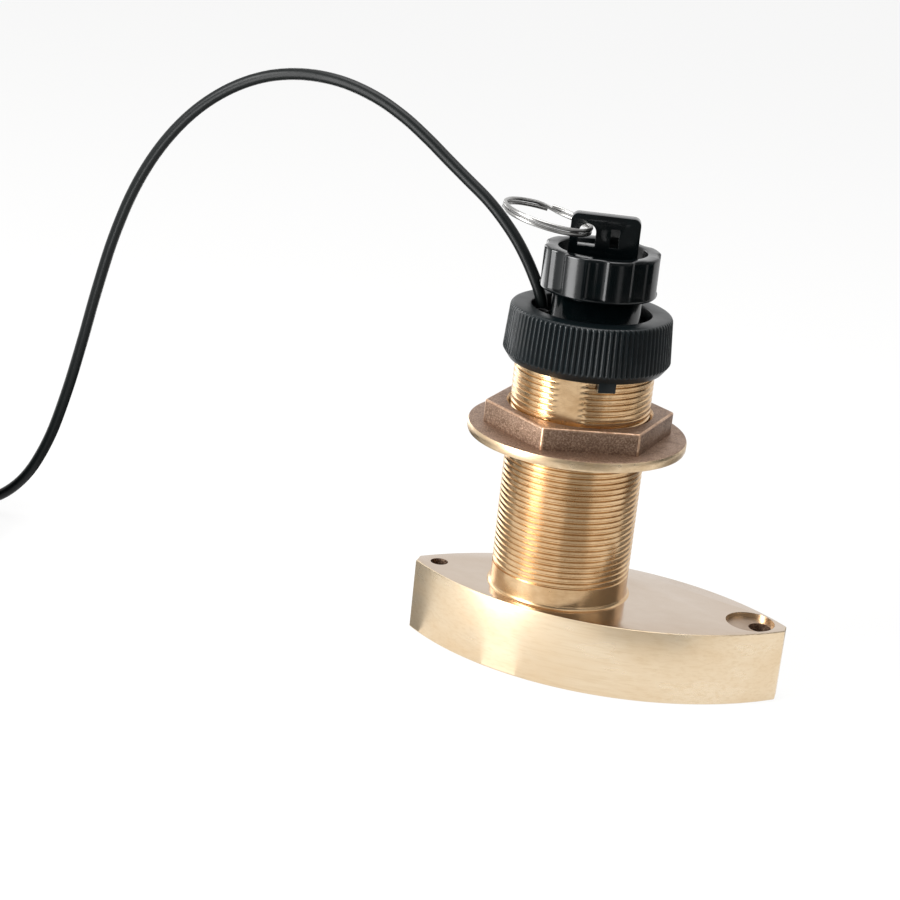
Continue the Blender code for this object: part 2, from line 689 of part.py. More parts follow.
def make_sounder(resin, ceramic, cork, plastic, brass):
    outer = pocket_radius - gap
    inner = outer - potting_wall
    rim = pocket_depth - gap
    cup = [(0, gap), (outer, gap), (outer, rim), (inner, rim), (inner, window_thickness), (0, window_thickness)]
    potting = add_object("potting", lathe(cup, pocket_x, 0, middle_steps), resin)
    notch = block((pocket_x - outer - 0.001, -wire_hole_radius, wire_height - wire_hole_radius),
                  (pocket_x - inner + 0.002, wire_hole_radius, pocket_depth))
    cut(potting, add_helper("potting_notch", notch))
    ceramic_x = pocket_x + ceramic_shift
    ceramic_low = window_thickness + gap
    ceramic_top = ceramic_low + ceramic_thickness
    add_object("ceramic_element", cylinder(ceramic_radius, ceramic_low, ceramic_top, ceramic_x, 0, middle_steps), ceramic)
    cork_low = ceramic_top + gap
    backing = cylinder(ceramic_radius, cork_low, cork_low + cork_thickness, ceramic_x, 0, middle_steps)
    add_object("cork_backing", backing, cork)
    length, width, height = sensor_size
    sensor_x = pocket_x - inner + sensor_inset + gap
    sensor = block((sensor_x, -width / 2, ceramic_low), (sensor_x + length, width / 2, ceramic_low + height))
    add_object("speed_sensor", sensor, plastic)
    button = cylinder(button_radius, gap, gap + button_length, button_x, 0, 16)
    add_object("temperature_sensor", button, brass)


def make_signal_lead(plastic):
    """From the pocket, half round the liner in the wiring chamber and up the stem's wall."""
    around = wiring_chamber_radius - 2 * lead_radius
    lead_x = pocket_x - pocket_radius
    climb = wiring_chamber_high - wire_height - 2 * lead_radius - gap
    route = [(lead_x + 0.0035, 0, wire_height), (lead_x + 0.0005, 0, wire_height),
             (lead_x - 0.0025, 0.0002, wire_height)]
    for step in range(13):
        share = step / 12
        angle = math.radians(8 + 156 * share)
        route.append((stem_x + around * math.cos(angle), around * math.sin(angle), wire_height + climb * share))
    route += [(cable_x - 0.0001, 0.0024, wiring_chamber_high - 0.001), (cable_x, cable_y, 0.026),
              (cable_x, cable_y, 0.032), (cable_x, cable_y, 0.060), (cable_x, cable_y, 0.090),
              (cable_x, cable_y, stem_top - gland_depth - gap)]
    add_tube_along("signal_lead", smooth_route(route, 0.0030), lead_radius, plastic)


# Cable and plug

def make_cable(jacket, rubber, nylon):
    gland = [(0, stem_top - gland_depth), (cable_hole_radius - gap, stem_top - gland_depth),
             (cable_hole_radius - gap, gasket_low), (gland_collar_radius, flange_low),
             (gland_collar_radius, flange_top - 0.001), (gland_tip_radius, stem_top + gland_height),
             (0, stem_top + gland_height)]
    add_object("cable_gland", lathe(gland, cable_x, cable_y, small_steps), rubber)
    add_tube_along("cable_lead", smooth_route(cable_route, 0.0072), cable_radius, jacket)

    low = tie_thickness + 2 * gap
    high = low + coil_height
    inner = coil_middle_radius - coil_width / 2
    outer = coil_outer_radius
    corner = cable_radius
    section = arc(outer - corner, low + corner, corner, -math.pi / 2, 0, 2)
    section += arc(outer - corner, high - corner, corner, 0, math.pi / 2, 2)
    section += arc(inner + corner, high - corner, corner, math.pi / 2, math.pi, 2)
    section += arc(inner + corner, low + corner, corner, math.pi, 3 * math.pi / 2, 2)
    add_object("cable_coil", lathe(section, coil_x, coil_y, round_steps), jacket)

    inside = (inner - gap, outer + gap, low - gap, high + gap)
    wall = tie_thickness
    for number, angle in ((1, math.radians(20)), (2, math.radians(187))):
        strap = prism([(inside[0] - wall, inside[2] - wall), (inside[1] + wall, inside[2] - wall),
                       (inside[1] + wall, inside[3] + wall), (inside[0] - wall, inside[3] + wall)],
                      -tie_width / 2, tie_width / 2)
        room = prism([(inside[0], inside[2]), (inside[1], inside[2]), (inside[1], inside[3]),
                      (inside[0], inside[3])], -tie_width, tie_width)
        for shape in (strap, room):
            stand_up(shape)
            bmesh.ops.rotate(shape, verts=shape.verts[:], cent=(0, 0, 0), matrix=Matrix.Rotation(angle, 3, "Z"))
            bmesh.ops.translate(shape, verts=shape.verts[:], vec=(coil_x, coil_y, 0))
        tie = add_object(f"coil_tie_{number}", strap, nylon)
        cut(tie, add_helper("tie_room", room))

    side = coil_y - coil_side_radius
    drop = plug_height - coil_tail_height
    tail = [(coil_x + along * plug_start, side, coil_tail_height + fall * drop)
            for along, fall in ((0, 0), (0.25, 0.27), (0.5, 0.62), (0.75, 0.92), (1, 1))]
    add_tube_along("cable_tail", smooth_route(tail, 0.0040), cable_radius, jacket)
    return coil_x + plug_start + gap, side


def lie_along_x(bm, x, y):
    bmesh.ops.rotate(bm, verts=bm.verts[:], cent=(0, 0, 0), matrix=Matrix.Rotation(math.pi / 2, 3, "Y"))
    bmesh.ops.translate(bm, verts=bm.verts[:], vec=(x, y, plug_height))


def make_plug(x, y, rubber, plastic, steel, brass):
    # Lengths along the plug, from the cable's side
    body_start = boot_length + gap
    body_end = body_start + plug_length
    collar_start = body_end + gap
    collar_end = collar_start + collar_length
    nose_start = body_end - 0.004
    nose_end = collar_end - 0.003

    boot = [(0, 0), (boot_tip_radius, 0), (boot_tip_radius + 0.0008, boot_length * 0.4),
            (boot_radius - 0.001, boot_length * 0.75), (boot_radius, boot_length), (0, boot_length)]
    body = [(0, body_start), (plug_radius - 0.0008, body_start), (plug_radius, body_start + 0.0015),
            (plug_radius, body_end - 0.0005), (plug_radius - 0.0005, body_end), (plug_nose_radius + gap, body_end),
            (plug_nose_radius + gap, nose_start), (0, nose_start)]
    nose_back = nose_start + gap
    nose = [(0, nose_back), (plug_nose_radius, nose_back), (plug_nose_radius, nose_end), (0, nose_end)]
    for name, profile, material, steps in (("plug_boot", boot, rubber, 24), ("plug_body", body, plastic, 28),
                                           ("plug_insert", nose, plastic, 24)):
        shape = lathe(profile, 0, 0, steps)
        lie_along_x(shape, x, y)
        part = add_object(name, shape, material)
        if name == "plug_insert":
            insert = part

    collar_shape = prism(ribbed_outline(collar_radius, 0.0005, collar_ribs), collar_start, collar_end)
    lie_along_x(collar_shape, x, y)
    collar = add_object("plug_collar", collar_shape, steel)
    room = cylinder(plug_nose_radius + turn_gap, collar_start - 0.001, collar_end + 0.001)
    lie_along_x(room, x, y)
    cut(collar, add_helper("collar_bore", room))

    for number in range(1, pin_count + 1):
        angle = 2 * math.pi * number / pin_count
        across = pin_circle * math.cos(angle)
        up = pin_circle * math.sin(angle)
        pin_start = nose_end - pin_length / 2
        seat = cylinder(pin_radius + gap, pin_start - gap, nose_end + 0.001, across, up, 10)
        lie_along_x(seat, x, y)
        cut(insert, add_helper("pin_seat", seat))
        pin = cylinder(pin_radius, pin_start, pin_start + pin_length - 0.0005, across, up, 10)
        lie_along_x(pin, x, y)
        add_object(f"plug_pin_{number}", pin, brass)


def build():
    for thing in list(bpy.data.objects):
        bpy.data.objects.remove(thing, do_unlink=True)

    bronze = make_material("brushed_bronze", (0.58, 0.42, 0.27), 0.32, 1.0)
    cast_bronze = make_material("cast_bronze", (0.33, 0.21, 0.14), 0.50, 1.0)
    ribbed_plastic = make_material("matt_black_nylon", (0.022, 0.026, 0.028), 0.48)
    gloss_plastic = make_material("gloss_black_abs", (0.008, 0.010, 0.011), 0.18)
    wheel_plastic = make_material("grey_acetal", (0.10, 0.10, 0.10), 0.40)
    rubber = make_material("black_rubber", (0.020, 0.020, 0.020), 0.65)
    jacket = make_material("cable_jacket", (0.018, 0.020, 0.020), 0.42)
    steel = make_material("stainless_steel", (0.62, 0.62, 0.61), 0.22, 1.0)
    brass = make_material("brass", (0.62, 0.44, 0.20), 0.30, 1.0)
    magnet = make_material("ferrite", (0.09, 0.09, 0.10), 0.50, 0.3)
    resin = make_material("black_urethane", (0.030, 0.030, 0.032), 0.35)
    ceramic = make_material("piezo_ceramic", (0.72, 0.68, 0.58), 0.60)
    cork = make_material("cork", (0.45, 0.28, 0.15), 0.85)
    nylon = make_material("nylon_strap", (0.025, 0.025, 0.027), 0.45)

    make_housing(bronze)
    make_hull_nut(cast_bronze)
    make_ring_nut(ribbed_plastic)
    make_sleeve(gloss_plastic, rubber)
    make_cap_nut(gloss_plastic)
    make_insert(gloss_plastic, rubber)
    make_pull_ring(steel)
    make_paddlewheel(wheel_plastic, steel, magnet)
    make_sounder(resin, ceramic, cork, ribbed_plastic, brass)
    make_signal_lead(jacket)
    plug_x, plug_y = make_cable(jacket, rubber, nylon)
    make_plug(plug_x, plug_y, rubber, ribbed_plastic, steel, brass)


build()
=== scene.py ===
import math

import bmesh
import bpy
from mathutils import Matrix, Vector


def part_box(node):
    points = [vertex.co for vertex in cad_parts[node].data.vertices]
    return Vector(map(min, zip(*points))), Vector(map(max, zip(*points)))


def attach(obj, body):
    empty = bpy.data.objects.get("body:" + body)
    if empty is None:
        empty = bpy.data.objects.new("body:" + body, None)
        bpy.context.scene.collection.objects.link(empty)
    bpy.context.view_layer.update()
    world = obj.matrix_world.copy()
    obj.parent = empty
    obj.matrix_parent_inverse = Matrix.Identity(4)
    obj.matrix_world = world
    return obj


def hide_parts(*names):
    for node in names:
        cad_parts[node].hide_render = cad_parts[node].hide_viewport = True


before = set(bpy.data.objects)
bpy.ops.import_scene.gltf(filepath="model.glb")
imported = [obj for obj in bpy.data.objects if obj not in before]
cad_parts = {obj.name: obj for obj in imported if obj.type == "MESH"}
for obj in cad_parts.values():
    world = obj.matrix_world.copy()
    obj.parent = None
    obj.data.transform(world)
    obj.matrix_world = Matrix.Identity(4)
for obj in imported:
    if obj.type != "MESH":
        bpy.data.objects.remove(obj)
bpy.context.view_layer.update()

# Looks for a through-hull transducer: bronze housing and hull nut, black nuts, insert and cable.
# Sizes are millimetres in the dictionaries and metres in the meshes.

mm = 0.001

housingLow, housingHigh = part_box("housing")
hullNutLow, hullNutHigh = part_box("hull_nut")
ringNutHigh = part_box("ring_nut")[1]
capNutLow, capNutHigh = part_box("cap_nut")
insertLow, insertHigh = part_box("insert_body")
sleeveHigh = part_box("insert_sleeve")[1]

stemX = (hullNutLow.x + hullNutHigh.x) / 2 / mm      # the stem's axis
boreX = (capNutLow.x + capNutHigh.x) / 2 / mm        # the insert's axis
stemTop = housingHigh.z / mm
clear = 1                       # how far a cutter stands out past what it cuts


# Small helpers

def addNode(tree, kind, settings=(), inputs=()):
    node = tree.nodes.new("ShaderNode" + kind)
    for name, value in dict(settings).items():
        setattr(node, name, value)
    for name, value in dict(inputs).items():
        if isinstance(value, bpy.types.NodeSocket):
            tree.links.new(value, node.inputs[name])
        else:
            node.inputs[name].default_value = value
    return node


def linearColour(hexText):
    parts = [int(hexText[i:i + 2], 16) / 255 for i in (1, 3, 5)]
    linear = [p / 12.92 if p <= 0.04045 else ((p + 0.055) / 1.055) ** 2.4 for p in parts]
    return (*linear, 1.0)


def turnProfile(profile, centreX=0.0, centreY=0.0, steps=96):
    # Spins a wire of (radius, height) points round a vertical axis
    bm = bmesh.new()
    points = [bm.verts.new((radius * mm, 0, height * mm)) for radius, height in profile]
    wires = [bm.edges.new(pair) for pair in zip(points, points[1:])]
    if profile[0][0] > 0 and profile[0] != profile[-1]:
        wires.append(bm.edges.new((points[-1], points[0])))
    bmesh.ops.spin(bm, geom=points + wires, cent=(0, 0, 0), axis=(0, 0, 1), angle=2 * math.pi,
                   steps=steps, use_merge=True, use_duplicate=False)
    bmesh.ops.remove_doubles(bm, verts=bm.verts[:], dist=1e-7)
    bmesh.ops.recalc_face_normals(bm, faces=bm.faces[:])
    bmesh.ops.translate(bm, verts=bm.verts[:], vec=(centreX * mm, centreY * mm, 0))
    return bm


def discProfile(radius, low, high):
    return [(0, low), (radius, low), (radius, high), (0, high)]


def sharpEdges(bm, angle=35):
    limit = math.radians(angle)
    return [e for e in bm.edges if len(e.link_faces) == 2 and e.calc_face_angle() > limit]


def softenEdges(bm, width, segments, edges):
    bmesh.ops.bevel(bm, geom=edges, offset=width * mm, affect="EDGES", segments=segments,
                    profile=0.5, material=-1, clamp_overlap=True)


def raiseOutline(bm, low, high):
    # Turns the flat face that the bmesh holds into a solid between two heights
    bmesh.ops.translate(bm, verts=bm.verts[:], vec=(0, 0, low * mm))
    raised = bmesh.ops.extrude_face_region(bm, geom=bm.faces[:])
    top = [item for item in raised["geom"] if isinstance(item, bmesh.types.BMVert)]
    bmesh.ops.translate(bm, verts=top, vec=(0, 0, (high - low) * mm))
    bmesh.ops.recalc_face_normals(bm, faces=bm.faces[:])


def newObject(name, bm, materials=(), smoothAngle=35):
    mesh = bpy.data.meshes.new(name)
    bm.to_mesh(mesh)
    bm.free()
    mesh.shade_smooth()
    mesh.set_sharp_from_angle(angle=math.radians(smoothAngle))
    for material in materials:
        mesh.materials.append(material)
    piece = bpy.data.objects.new(name, mesh)
    bpy.context.scene.collection.objects.link(piece)
    return piece


def carve(piece, tools, smoothAngle=35):
    # Cuts or joins each (operation, bmesh) pair and keeps the result as the piece's mesh
    helpers = []
    for operation, bm in tools:
        helper = newObject("tool", bm)
        helpers.append(helper)
        step = piece.modifiers.new(operation, "BOOLEAN")
        step.operation = operation
        step.solver = "EXACT"
        step.object = helper
    bpy.context.view_layer.update()
    carved = piece.evaluated_get(bpy.context.evaluated_depsgraph_get())
    result = bpy.data.meshes.new_from_object(carved)
    materials = list(piece.data.materials)
    piece.modifiers.clear()
    piece.data = result
    result.name = piece.name
    result.materials.clear()
    for material in materials:
        result.materials.append(material)
    for helper in helpers:
        bpy.data.objects.remove(helper)
    result.shade_smooth()
    result.set_sharp_from_angle(angle=math.radians(smoothAngle))


def seat(piece, body, slotName, *nodes):
    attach(piece, body)
    if nodes:
        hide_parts(*nodes)
    return piece


def finishedCopy(node, body, slotName, material):
    # The CAD node's own shape, with its loose triangles merged and shaded smooth
    bm = bmesh.new()
    bm.from_mesh(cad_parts[node].data)
    bmesh.ops.remove_doubles(bm, verts=bm.verts[:], dist=1e-6)
    return seat(newObject(node + "_finished", bm, [material]), body, slotName, node)


# Finishes. The patches vary the tone and the gloss over some millimetres, and the grain is the fine
# texture that stands up by the relief. Sizes are millimetres along X, Y and Z. The grain's colour
# comes with the band of the noise in which it fades in, and with its strength.

finishes = {
    # Bronze rubbed lengthwise with fine abrasive: pale and satin, with streaks along the base
    "brushedBronze": {
        "metallic": 1.0, "colours": ("#E0C8A6", "#E8D5B8"), "roughness": (0.26, 0.34),
        "patches": (34, 20, 12), "grain": (24, 1.2, 0.9), "grainColour": ("#CFB38A", 0.46, 0.76, 0.45),
        "relief": 0.010,
    },
    # Bronze milled flat and polished: greyer, and it mirrors the stem
    "polishedBronze": {
        "metallic": 1.0, "colours": ("#C8B6A4", "#D0C0B0"), "roughness": (0.12, 0.20),
        "patches": (26, 16, 10), "grain": (6, 0.5, 0.5), "grainColour": ("#BFA98F", 0.55, 0.80, 0.25),
        "relief": 0.003,
    },
    # Counterbore left as the cutter made it: duller than the polished top, and painted darker as shade
    # in the recess
    "counterboreShadedBronze": {
        "metallic": 1.0, "colours": ("#9A836E", "#AE9985"), "roughness": (0.26, 0.36),
        "patches": (12, 12, 6), "grain": (1.5, 1.5, 1.5), "relief": 0.004,
    },
    # Thread cut on a lathe: warm and bright on its crests, with fine turning lines
    "turnedBronze": {
        "metallic": 1.0, "colours": ("#C4A075", "#DBBB92"), "roughness": (0.20, 0.28),
        "patches": (9, 9, 7), "grain": (3, 3, 0.25), "grainColour": ("#A67F55", 0.55, 0.80, 0.35),
        "relief": 0.008,
    },
    # Sand-cast skin: brown, with a coarse sandy grain whose relief is real and whose pale specks are
    # painted glints where the sand catches light
    # The sand is about 0.3 mm, and is drawn at 0.6 mm so that it shows
    "castBronzeAndGlints": {
        "metallic": 1.0, "colours": ("#665041", "#866D5C"), "roughness": (0.42, 0.56),
        # The pale speck colour is a painted glint of the sand
        "patches": (9, 9, 5), "grain": (0.6, 0.6, 0.6), "grainColour": ("#C6AB94", 0.44, 0.72, 0.62),
        "relief": 0.16,
    },
    # Corners of the casting worn by handling: brighter than its skin, but still brown
    "wornCornerBronze": {
        "metallic": 1.0, "colours": ("#94725B", "#C4A286"), "roughness": (0.34, 0.48),
        "patches": (3, 3, 2), "grain": (0.9, 0.9, 0.9), "grainColour": ("#DCC2A8", 0.46, 0.70, 0.60),
        "relief": 0.03,
    },
    # Rims and bores of the casting turned bright
    "machinedEdgeBronze": {
        "metallic": 1.0, "colours": ("#CBB08C", "#E0C8A6"), "roughness": (0.26, 0.42),
        "patches": (5, 5, 3), "grain": (2.5, 2.5, 0.5), "grainColour": ("#9F8161", 0.55, 0.75, 0.40),
        "relief": 0.012,
    },
    # ABS from a polished mould: deep black and glossy, with a faint orange peel
    "glossBlackAbs": {
        "metallic": 0.0, "ior": 1.40, "colours": ("#010304", "#030708"), "roughness": (0.13, 0.19),
        "patches": (9, 9, 6), "grain": (1.4, 1.4, 1.4), "relief": 0.012,
    },
    # Glass-filled nylon from a fine-textured mould: charcoal where it meets the light
    "mattBlackNylon": {
        "metallic": 0.0, "ior": 1.34, "colours": ("#03090B", "#070F12"), "roughness": (0.30, 0.38),
        "patches": (8, 8, 6), "grain": (0.6, 0.6, 0.6), "relief": 0.02,
    },
    # Extruded cable jacket: even black with a satin sheen
    "cableJacket": {
        "metallic": 0.0, "ior": 1.30, "colours": ("#030606", "#060A0A"), "roughness": (0.32, 0.40),
        "patches": (20, 20, 20), "grain": (0.8, 0.8, 0.8), "relief": 0.006,
    },
    # Moulded rubber: dark and dull
    "mouldedRubber": {
        "metallic": 0.0, "colours": ("#0C0D0D", "#131414"), "roughness": (0.56, 0.68),
        "patches": (7, 7, 7), "grain": (0.6, 0.6, 0.6), "relief": 0.02,
    },
    # Nylon strap: satin black
    "nylonStrap": {
        "metallic": 0.0, "colours": ("#0F1112", "#17191A"), "roughness": (0.38, 0.46),
        "patches": (7, 7, 7), "grain": (0.8, 0.8, 0.8), "relief": 0.01,
    },
    # Cast urethane window: black, smooth and slightly uneven
    "castUrethane": {
        "metallic": 0.0, "colours": ("#101112", "#17191A"), "roughness": (0.26, 0.36),
        "patches": (8, 8, 8), "grain": (2.5, 2.5, 2.5), "relief": 0.02,
    },
    # Drawn stainless wire: grey and satin
    "drawnStainlessWire": {
        "metallic": 1.0, "colours": ("#8E8D8B", "#A5A4A2"), "roughness": (0.26, 0.34),
        "patches": (7, 7, 7), "grain": (1.5, 1.5, 1.5), "relief": 0.001,
    },
    # Nickel plate over knurled brass
    "nickelPlate": {
        "metallic": 1.0, "colours": ("#B4B0A8", "#D0CCC2"), "roughness": (0.20, 0.34),
        "patches": (5, 5, 5), "grain": (1, 1, 1), "relief": 0.004,
    },
    # Turned brass pins and sensor button
    "turnedBrass": {
        "metallic": 1.0, "colours": ("#C79A4B", "#DDB668"), "roughness": (0.22, 0.36),
        "patches": (3, 3, 3), "grain": (1, 1, 0.3), "relief": 0.004,
    },
    # Machined acetal: smooth dark grey
    "machinedAcetal": {
        "metallic": 0.0, "colours": ("#232526", "#2C2E2F"), "roughness": (0.32, 0.42),
        "patches": (4, 4, 4), "grain": (1, 1, 1), "relief": 0.006,
    },
    # Ground ferrite magnets
    "groundFerrite": {
        "metallic": 0.0, "colours": ("#2B2B2E", "#3A3A3D"), "roughness": (0.44, 0.56),
        "patches": (1, 1, 1), "grain": (0.4, 0.4, 0.4), "relief": 0.01,
    },
    # Fired ceramic: chalky and pale
    "firedPiezoCeramic": {
        "metallic": 0.0, "colours": ("#C9C1AC", "#DAD2BE"), "roughness": (0.54, 0.66),
        "patches": (4, 4, 4), "grain": (0.5, 0.5, 0.5), "relief": 0.01,
    },
    # Cork granules pressed in a binder
    "pressedCork": {
        "metallic": 0.0, "colours": ("#A87A4E", "#8F6238"), "roughness": (0.78, 0.90),
        "patches": (2, 2, 2), "grain": (1, 1, 1), "grainColour": ("#5E3D22", 0.56, 0.66, 0.7),
        "relief": 0.08,
    },
}

noiseDetail = {"patches": 3.0, "grain": 4.0}
noiseRoughness = 0.6
patchBand = {"From Min": 0.32, "From Max": 0.68}      # the band that holds most of the noise


def makeFinish(name):
    look = finishes[name]
    material = bpy.data.materials.new(name)
    material.use_nodes = True
    tree = material.node_tree
    shader = tree.nodes["Principled BSDF"]
    shader.inputs["Metallic"].default_value = look["metallic"]
    if "ior" in look:
        shader.inputs["IOR"].default_value = look["ior"]
    place = addNode(tree, "TexCoord").outputs["Object"]
    patterns = {}
    for pattern, detail in noiseDetail.items():
        sized = addNode(tree, "Mapping", {}, {
            "Vector": place, "Scale": [1 / (size * mm) for size in look[pattern]]})
        patterns[pattern] = addNode(tree, "TexNoise", {}, {
            "Vector": sized.outputs["Vector"], "Scale": 1.0, "Detail": detail,
            "Roughness": noiseRoughness}).outputs["Fac"]
    patchShare = addNode(tree, "MapRange", {}, {
        "Value": patterns["patches"], **patchBand}).outputs["Result"]

    # The Mix node's two colours are its inputs 6 and 7, and the mixed one is its output 2
    firstColour, secondColour = [linearColour(colour) for colour in look["colours"]]
    tone = addNode(tree, "Mix", {"data_type": "RGBA"}, {
        "Factor": patchShare, 6: firstColour, 7: secondColour}).outputs[2]
    if "grainColour" in look:
        speckColour, low, high, strength = look["grainColour"]
        speckShare = addNode(tree, "MapRange", {}, {
            "Value": patterns["grain"], "From Min": low, "From Max": high,
            "To Max": strength}).outputs["Result"]
        tone = addNode(tree, "Mix", {"data_type": "RGBA"}, {
            "Factor": speckShare, 6: tone, 7: linearColour(speckColour)}).outputs[2]
    tree.links.new(tone, shader.inputs["Base Color"])

    glossiest, dullest = look["roughness"]
    roughness = addNode(tree, "MapRange", {}, {
        "Value": patterns["patches"], **patchBand, "To Min": dullest, "To Max": glossiest})
    tree.links.new(roughness.outputs["Result"], shader.inputs["Roughness"])
    relief = addNode(tree, "Bump", {}, {
        "Height": patterns["grain"], "Strength": 1.0, "Distance": look["relief"] * mm})
    tree.links.new(relief.outputs["Normal"], shader.inputs["Normal"])
    return material


finish = {name: makeFinish(name) for name in finishes}
print("finishes made")


# Housing: base, stem and thread

base = {
    "length": (housingHigh.x - housingLow.x) / mm,
    "width": (housingHigh.y - housingLow.y) / mm,
    "tip": 5.0,                   # width of the flat at each end
    "arcSteps": 72,
    "height": 27.5,
    "edge": 0.7,
    "screwHole": (-61.6, 3.3),    # a hole's place along the base, and its radius
    "boltHole": (60.6, 4.1),
    "boltRecess": (56.9, 9.0, 1.6),       # and its depth
    "pocket": (22.5, 15.0, 19.0),         # and its height above the floor
    "button": (45.0, 2.5, 7.9),
    "holeSteps": 64,
}

stem = {
    "radius": 25.4,
    "steps": 144,
    "core": 24.7,
    "coreLow": 20,                # the core starts inside the base
    "coreDrop": 0.2,              # and ends this far below the stem's top
    "collarTop": 35.5,
    "pitch": 2.117,
    "crest": 0.42,                # share of the pitch, as the root is
    "root": 0.16,
    "rootGap": 0.1,               # between the thread's root and the core
    "rimDepth": 0.25,             # how far the thread's end rims reach into the core
    "flatDepth": 1.0,             # below the root, so that the flats are plain
    "flatGap": 0.05,              # between the thread's flats and the core's
    "flatLength": 31.0,
    "fillet": 1.5,
    "bore": 16.3,
    "well": 14.2,
    "wellDepth": 14.0,
    "boreSteps": 96,
    "cableHole": (-33.8, 0.8, 2.6, 17.5),         # x, y, radius and low end
    "chamfer": 1.0,
}


def baseOutline():
    # A pointed oval: each side is one arc, spun from its end vertex, and short flats close the tips
    half = base["length"] / 2
    rise = (base["width"] - base["tip"]) / 2
    radius = (half ** 2 + rise ** 2) / (2 * rise)
    centre = base["width"] / 2 - radius
    bm = bmesh.new()
    for side in (1, -1):
        start = bm.verts.new((side * half * mm, side * base["tip"] / 2 * mm, 0))
        bmesh.ops.spin(bm, geom=[start], cent=(0, side * centre * mm, 0), axis=(0, 0, 1),
                       angle=2 * math.asin(half / radius), steps=base["arcSteps"],
                       use_merge=False, use_duplicate=False)
    ends = [v for v in bm.verts if len(v.link_edges) == 1]
    for x in (-1, 1):
        bm.edges.new([v for v in ends if v.co.x * x > 0])
    bmesh.ops.contextual_create(bm, geom=bm.edges[:])
    return bm


def makeHousing():
    top = base["height"]
    bm = baseOutline()
    raiseOutline(bm, 0, top)
    rims = [e for e in sharpEdges(bm, 60) if abs(e.verts[0].co.z - e.verts[1].co.z) < 1e-6]
    softenEdges(bm, base["edge"], 3, rims)
    skins = ["brushedBronze", "polishedBronze", "turnedBronze", "castBronzeAndGlints", "counterboreShadedBronze"]
    housing = newObject("bronze_housing", bm, [finish[skin] for skin in skins])

    # The stem's core joins the base in a fillet, drawn in steps of 10 degrees
    radius, core, fillet = stem["radius"], stem["core"], stem["fillet"]
    foot = [(radius + fillet * (1 - math.cos(a)), top + fillet * (1 - math.sin(a)))
            for a in (math.radians(80 - 10 * i) for i in range(9))]
    coreTop = stemTop - stem["coreDrop"]
    outline = [(0, stem["coreLow"]), (foot[0][0], stem["coreLow"])] + foot
    outline += [(radius, stem["collarTop"]), (core, stem["collarTop"]), (core, coreTop), (0, coreTop)]
    tools = [("UNION", turnProfile(outline, stemX, 0, stem["steps"]))]

    bore, well, wellDepth = stem["bore"], stem["well"], stem["wellDepth"]
    room = [(0, -clear), (well, -clear), (well, wellDepth), (bore, wellDepth),
            (bore, stemTop + clear), (0, stemTop + clear)]
    tools.append(("DIFFERENCE", turnProfile(room, boreX, 0, stem["boreSteps"])))

    recessX, recessRadius, recessDepth = base["boltRecess"]
    pocketX, pocketRadius, pocketTop = base["pocket"]
    buttonX, buttonRadius, buttonTop = base["button"]
    cableX, cableY, cableRadius, cableLow = stem["cableHole"]
    holes = [(x, 0, holeRadius, -clear, top + clear)
             for x, holeRadius in (base["screwHole"], base["boltHole"])]
    holes += [
        (recessX, 0, recessRadius, top - recessDepth, top + clear),
        (pocketX, 0, pocketRadius, -clear, pocketTop),
        (buttonX, 0, buttonRadius, -clear, buttonTop),
        (cableX, cableY, cableRadius, cableLow, stemTop + clear),
    ]
    for x, y, holeRadius, low, high in holes:
        tools.append(("DIFFERENCE", turnProfile(discProfile(holeRadius, low, high), x, y,
                                                base["holeSteps"])))

    # A block cuts each flat near the stem's top
    block = 20
    for side in (1, -1):
        flat = bmesh.new()
        bmesh.ops.create_cube(flat, size=block * mm)
        bmesh.ops.scale(flat, vec=(2, 1, 2), verts=flat.verts[:])
        bmesh.ops.translate(flat, verts=flat.verts[:], vec=(
            stemX * mm, side * (radius - stem["flatDepth"] + block / 2 - stem["flatGap"]) * mm,
            (stemTop - stem["flatLength"] + block) * mm))
        tools.append(("DIFFERENCE", flat))
    carve(housing, tools, smoothAngle=28)

    # The stem is turned, the top polished, the counterbore and the holes duller, with the counterbore
    # also painted darker as shade, the rest brushed
    for face in housing.data.polygons:
        x, y, height = [value / mm for value in face.center]
        facing = face.normal.z
        nearStem = math.hypot(x - stemX, y) < radius + fillet + 0.2
        inHole = any(math.hypot(x - holeX, y) < holeRadius + 0.05
                     for holeX, holeRadius in (base["screwHole"], base["boltHole"]))
        if height > top + 0.02 or (height > top - 0.02 and nearStem and facing < 0.9):
            face.material_index = skins.index("turnedBronze")
        elif facing > 0.9 and height > top - 0.1:
            face.material_index = skins.index("polishedBronze")
        # The counterbore's floor takes a tone painted darker as shade in the recess
        elif facing > 0.9 and height > top - recessDepth - 0.1:
            face.material_index = skins.index("counterboreShadedBronze")
        elif abs(facing) < 0.5 and inHole:
            face.material_index = skins.index("castBronzeAndGlints")
    seat(housing, "housing", "brushed_bronze", "housing")


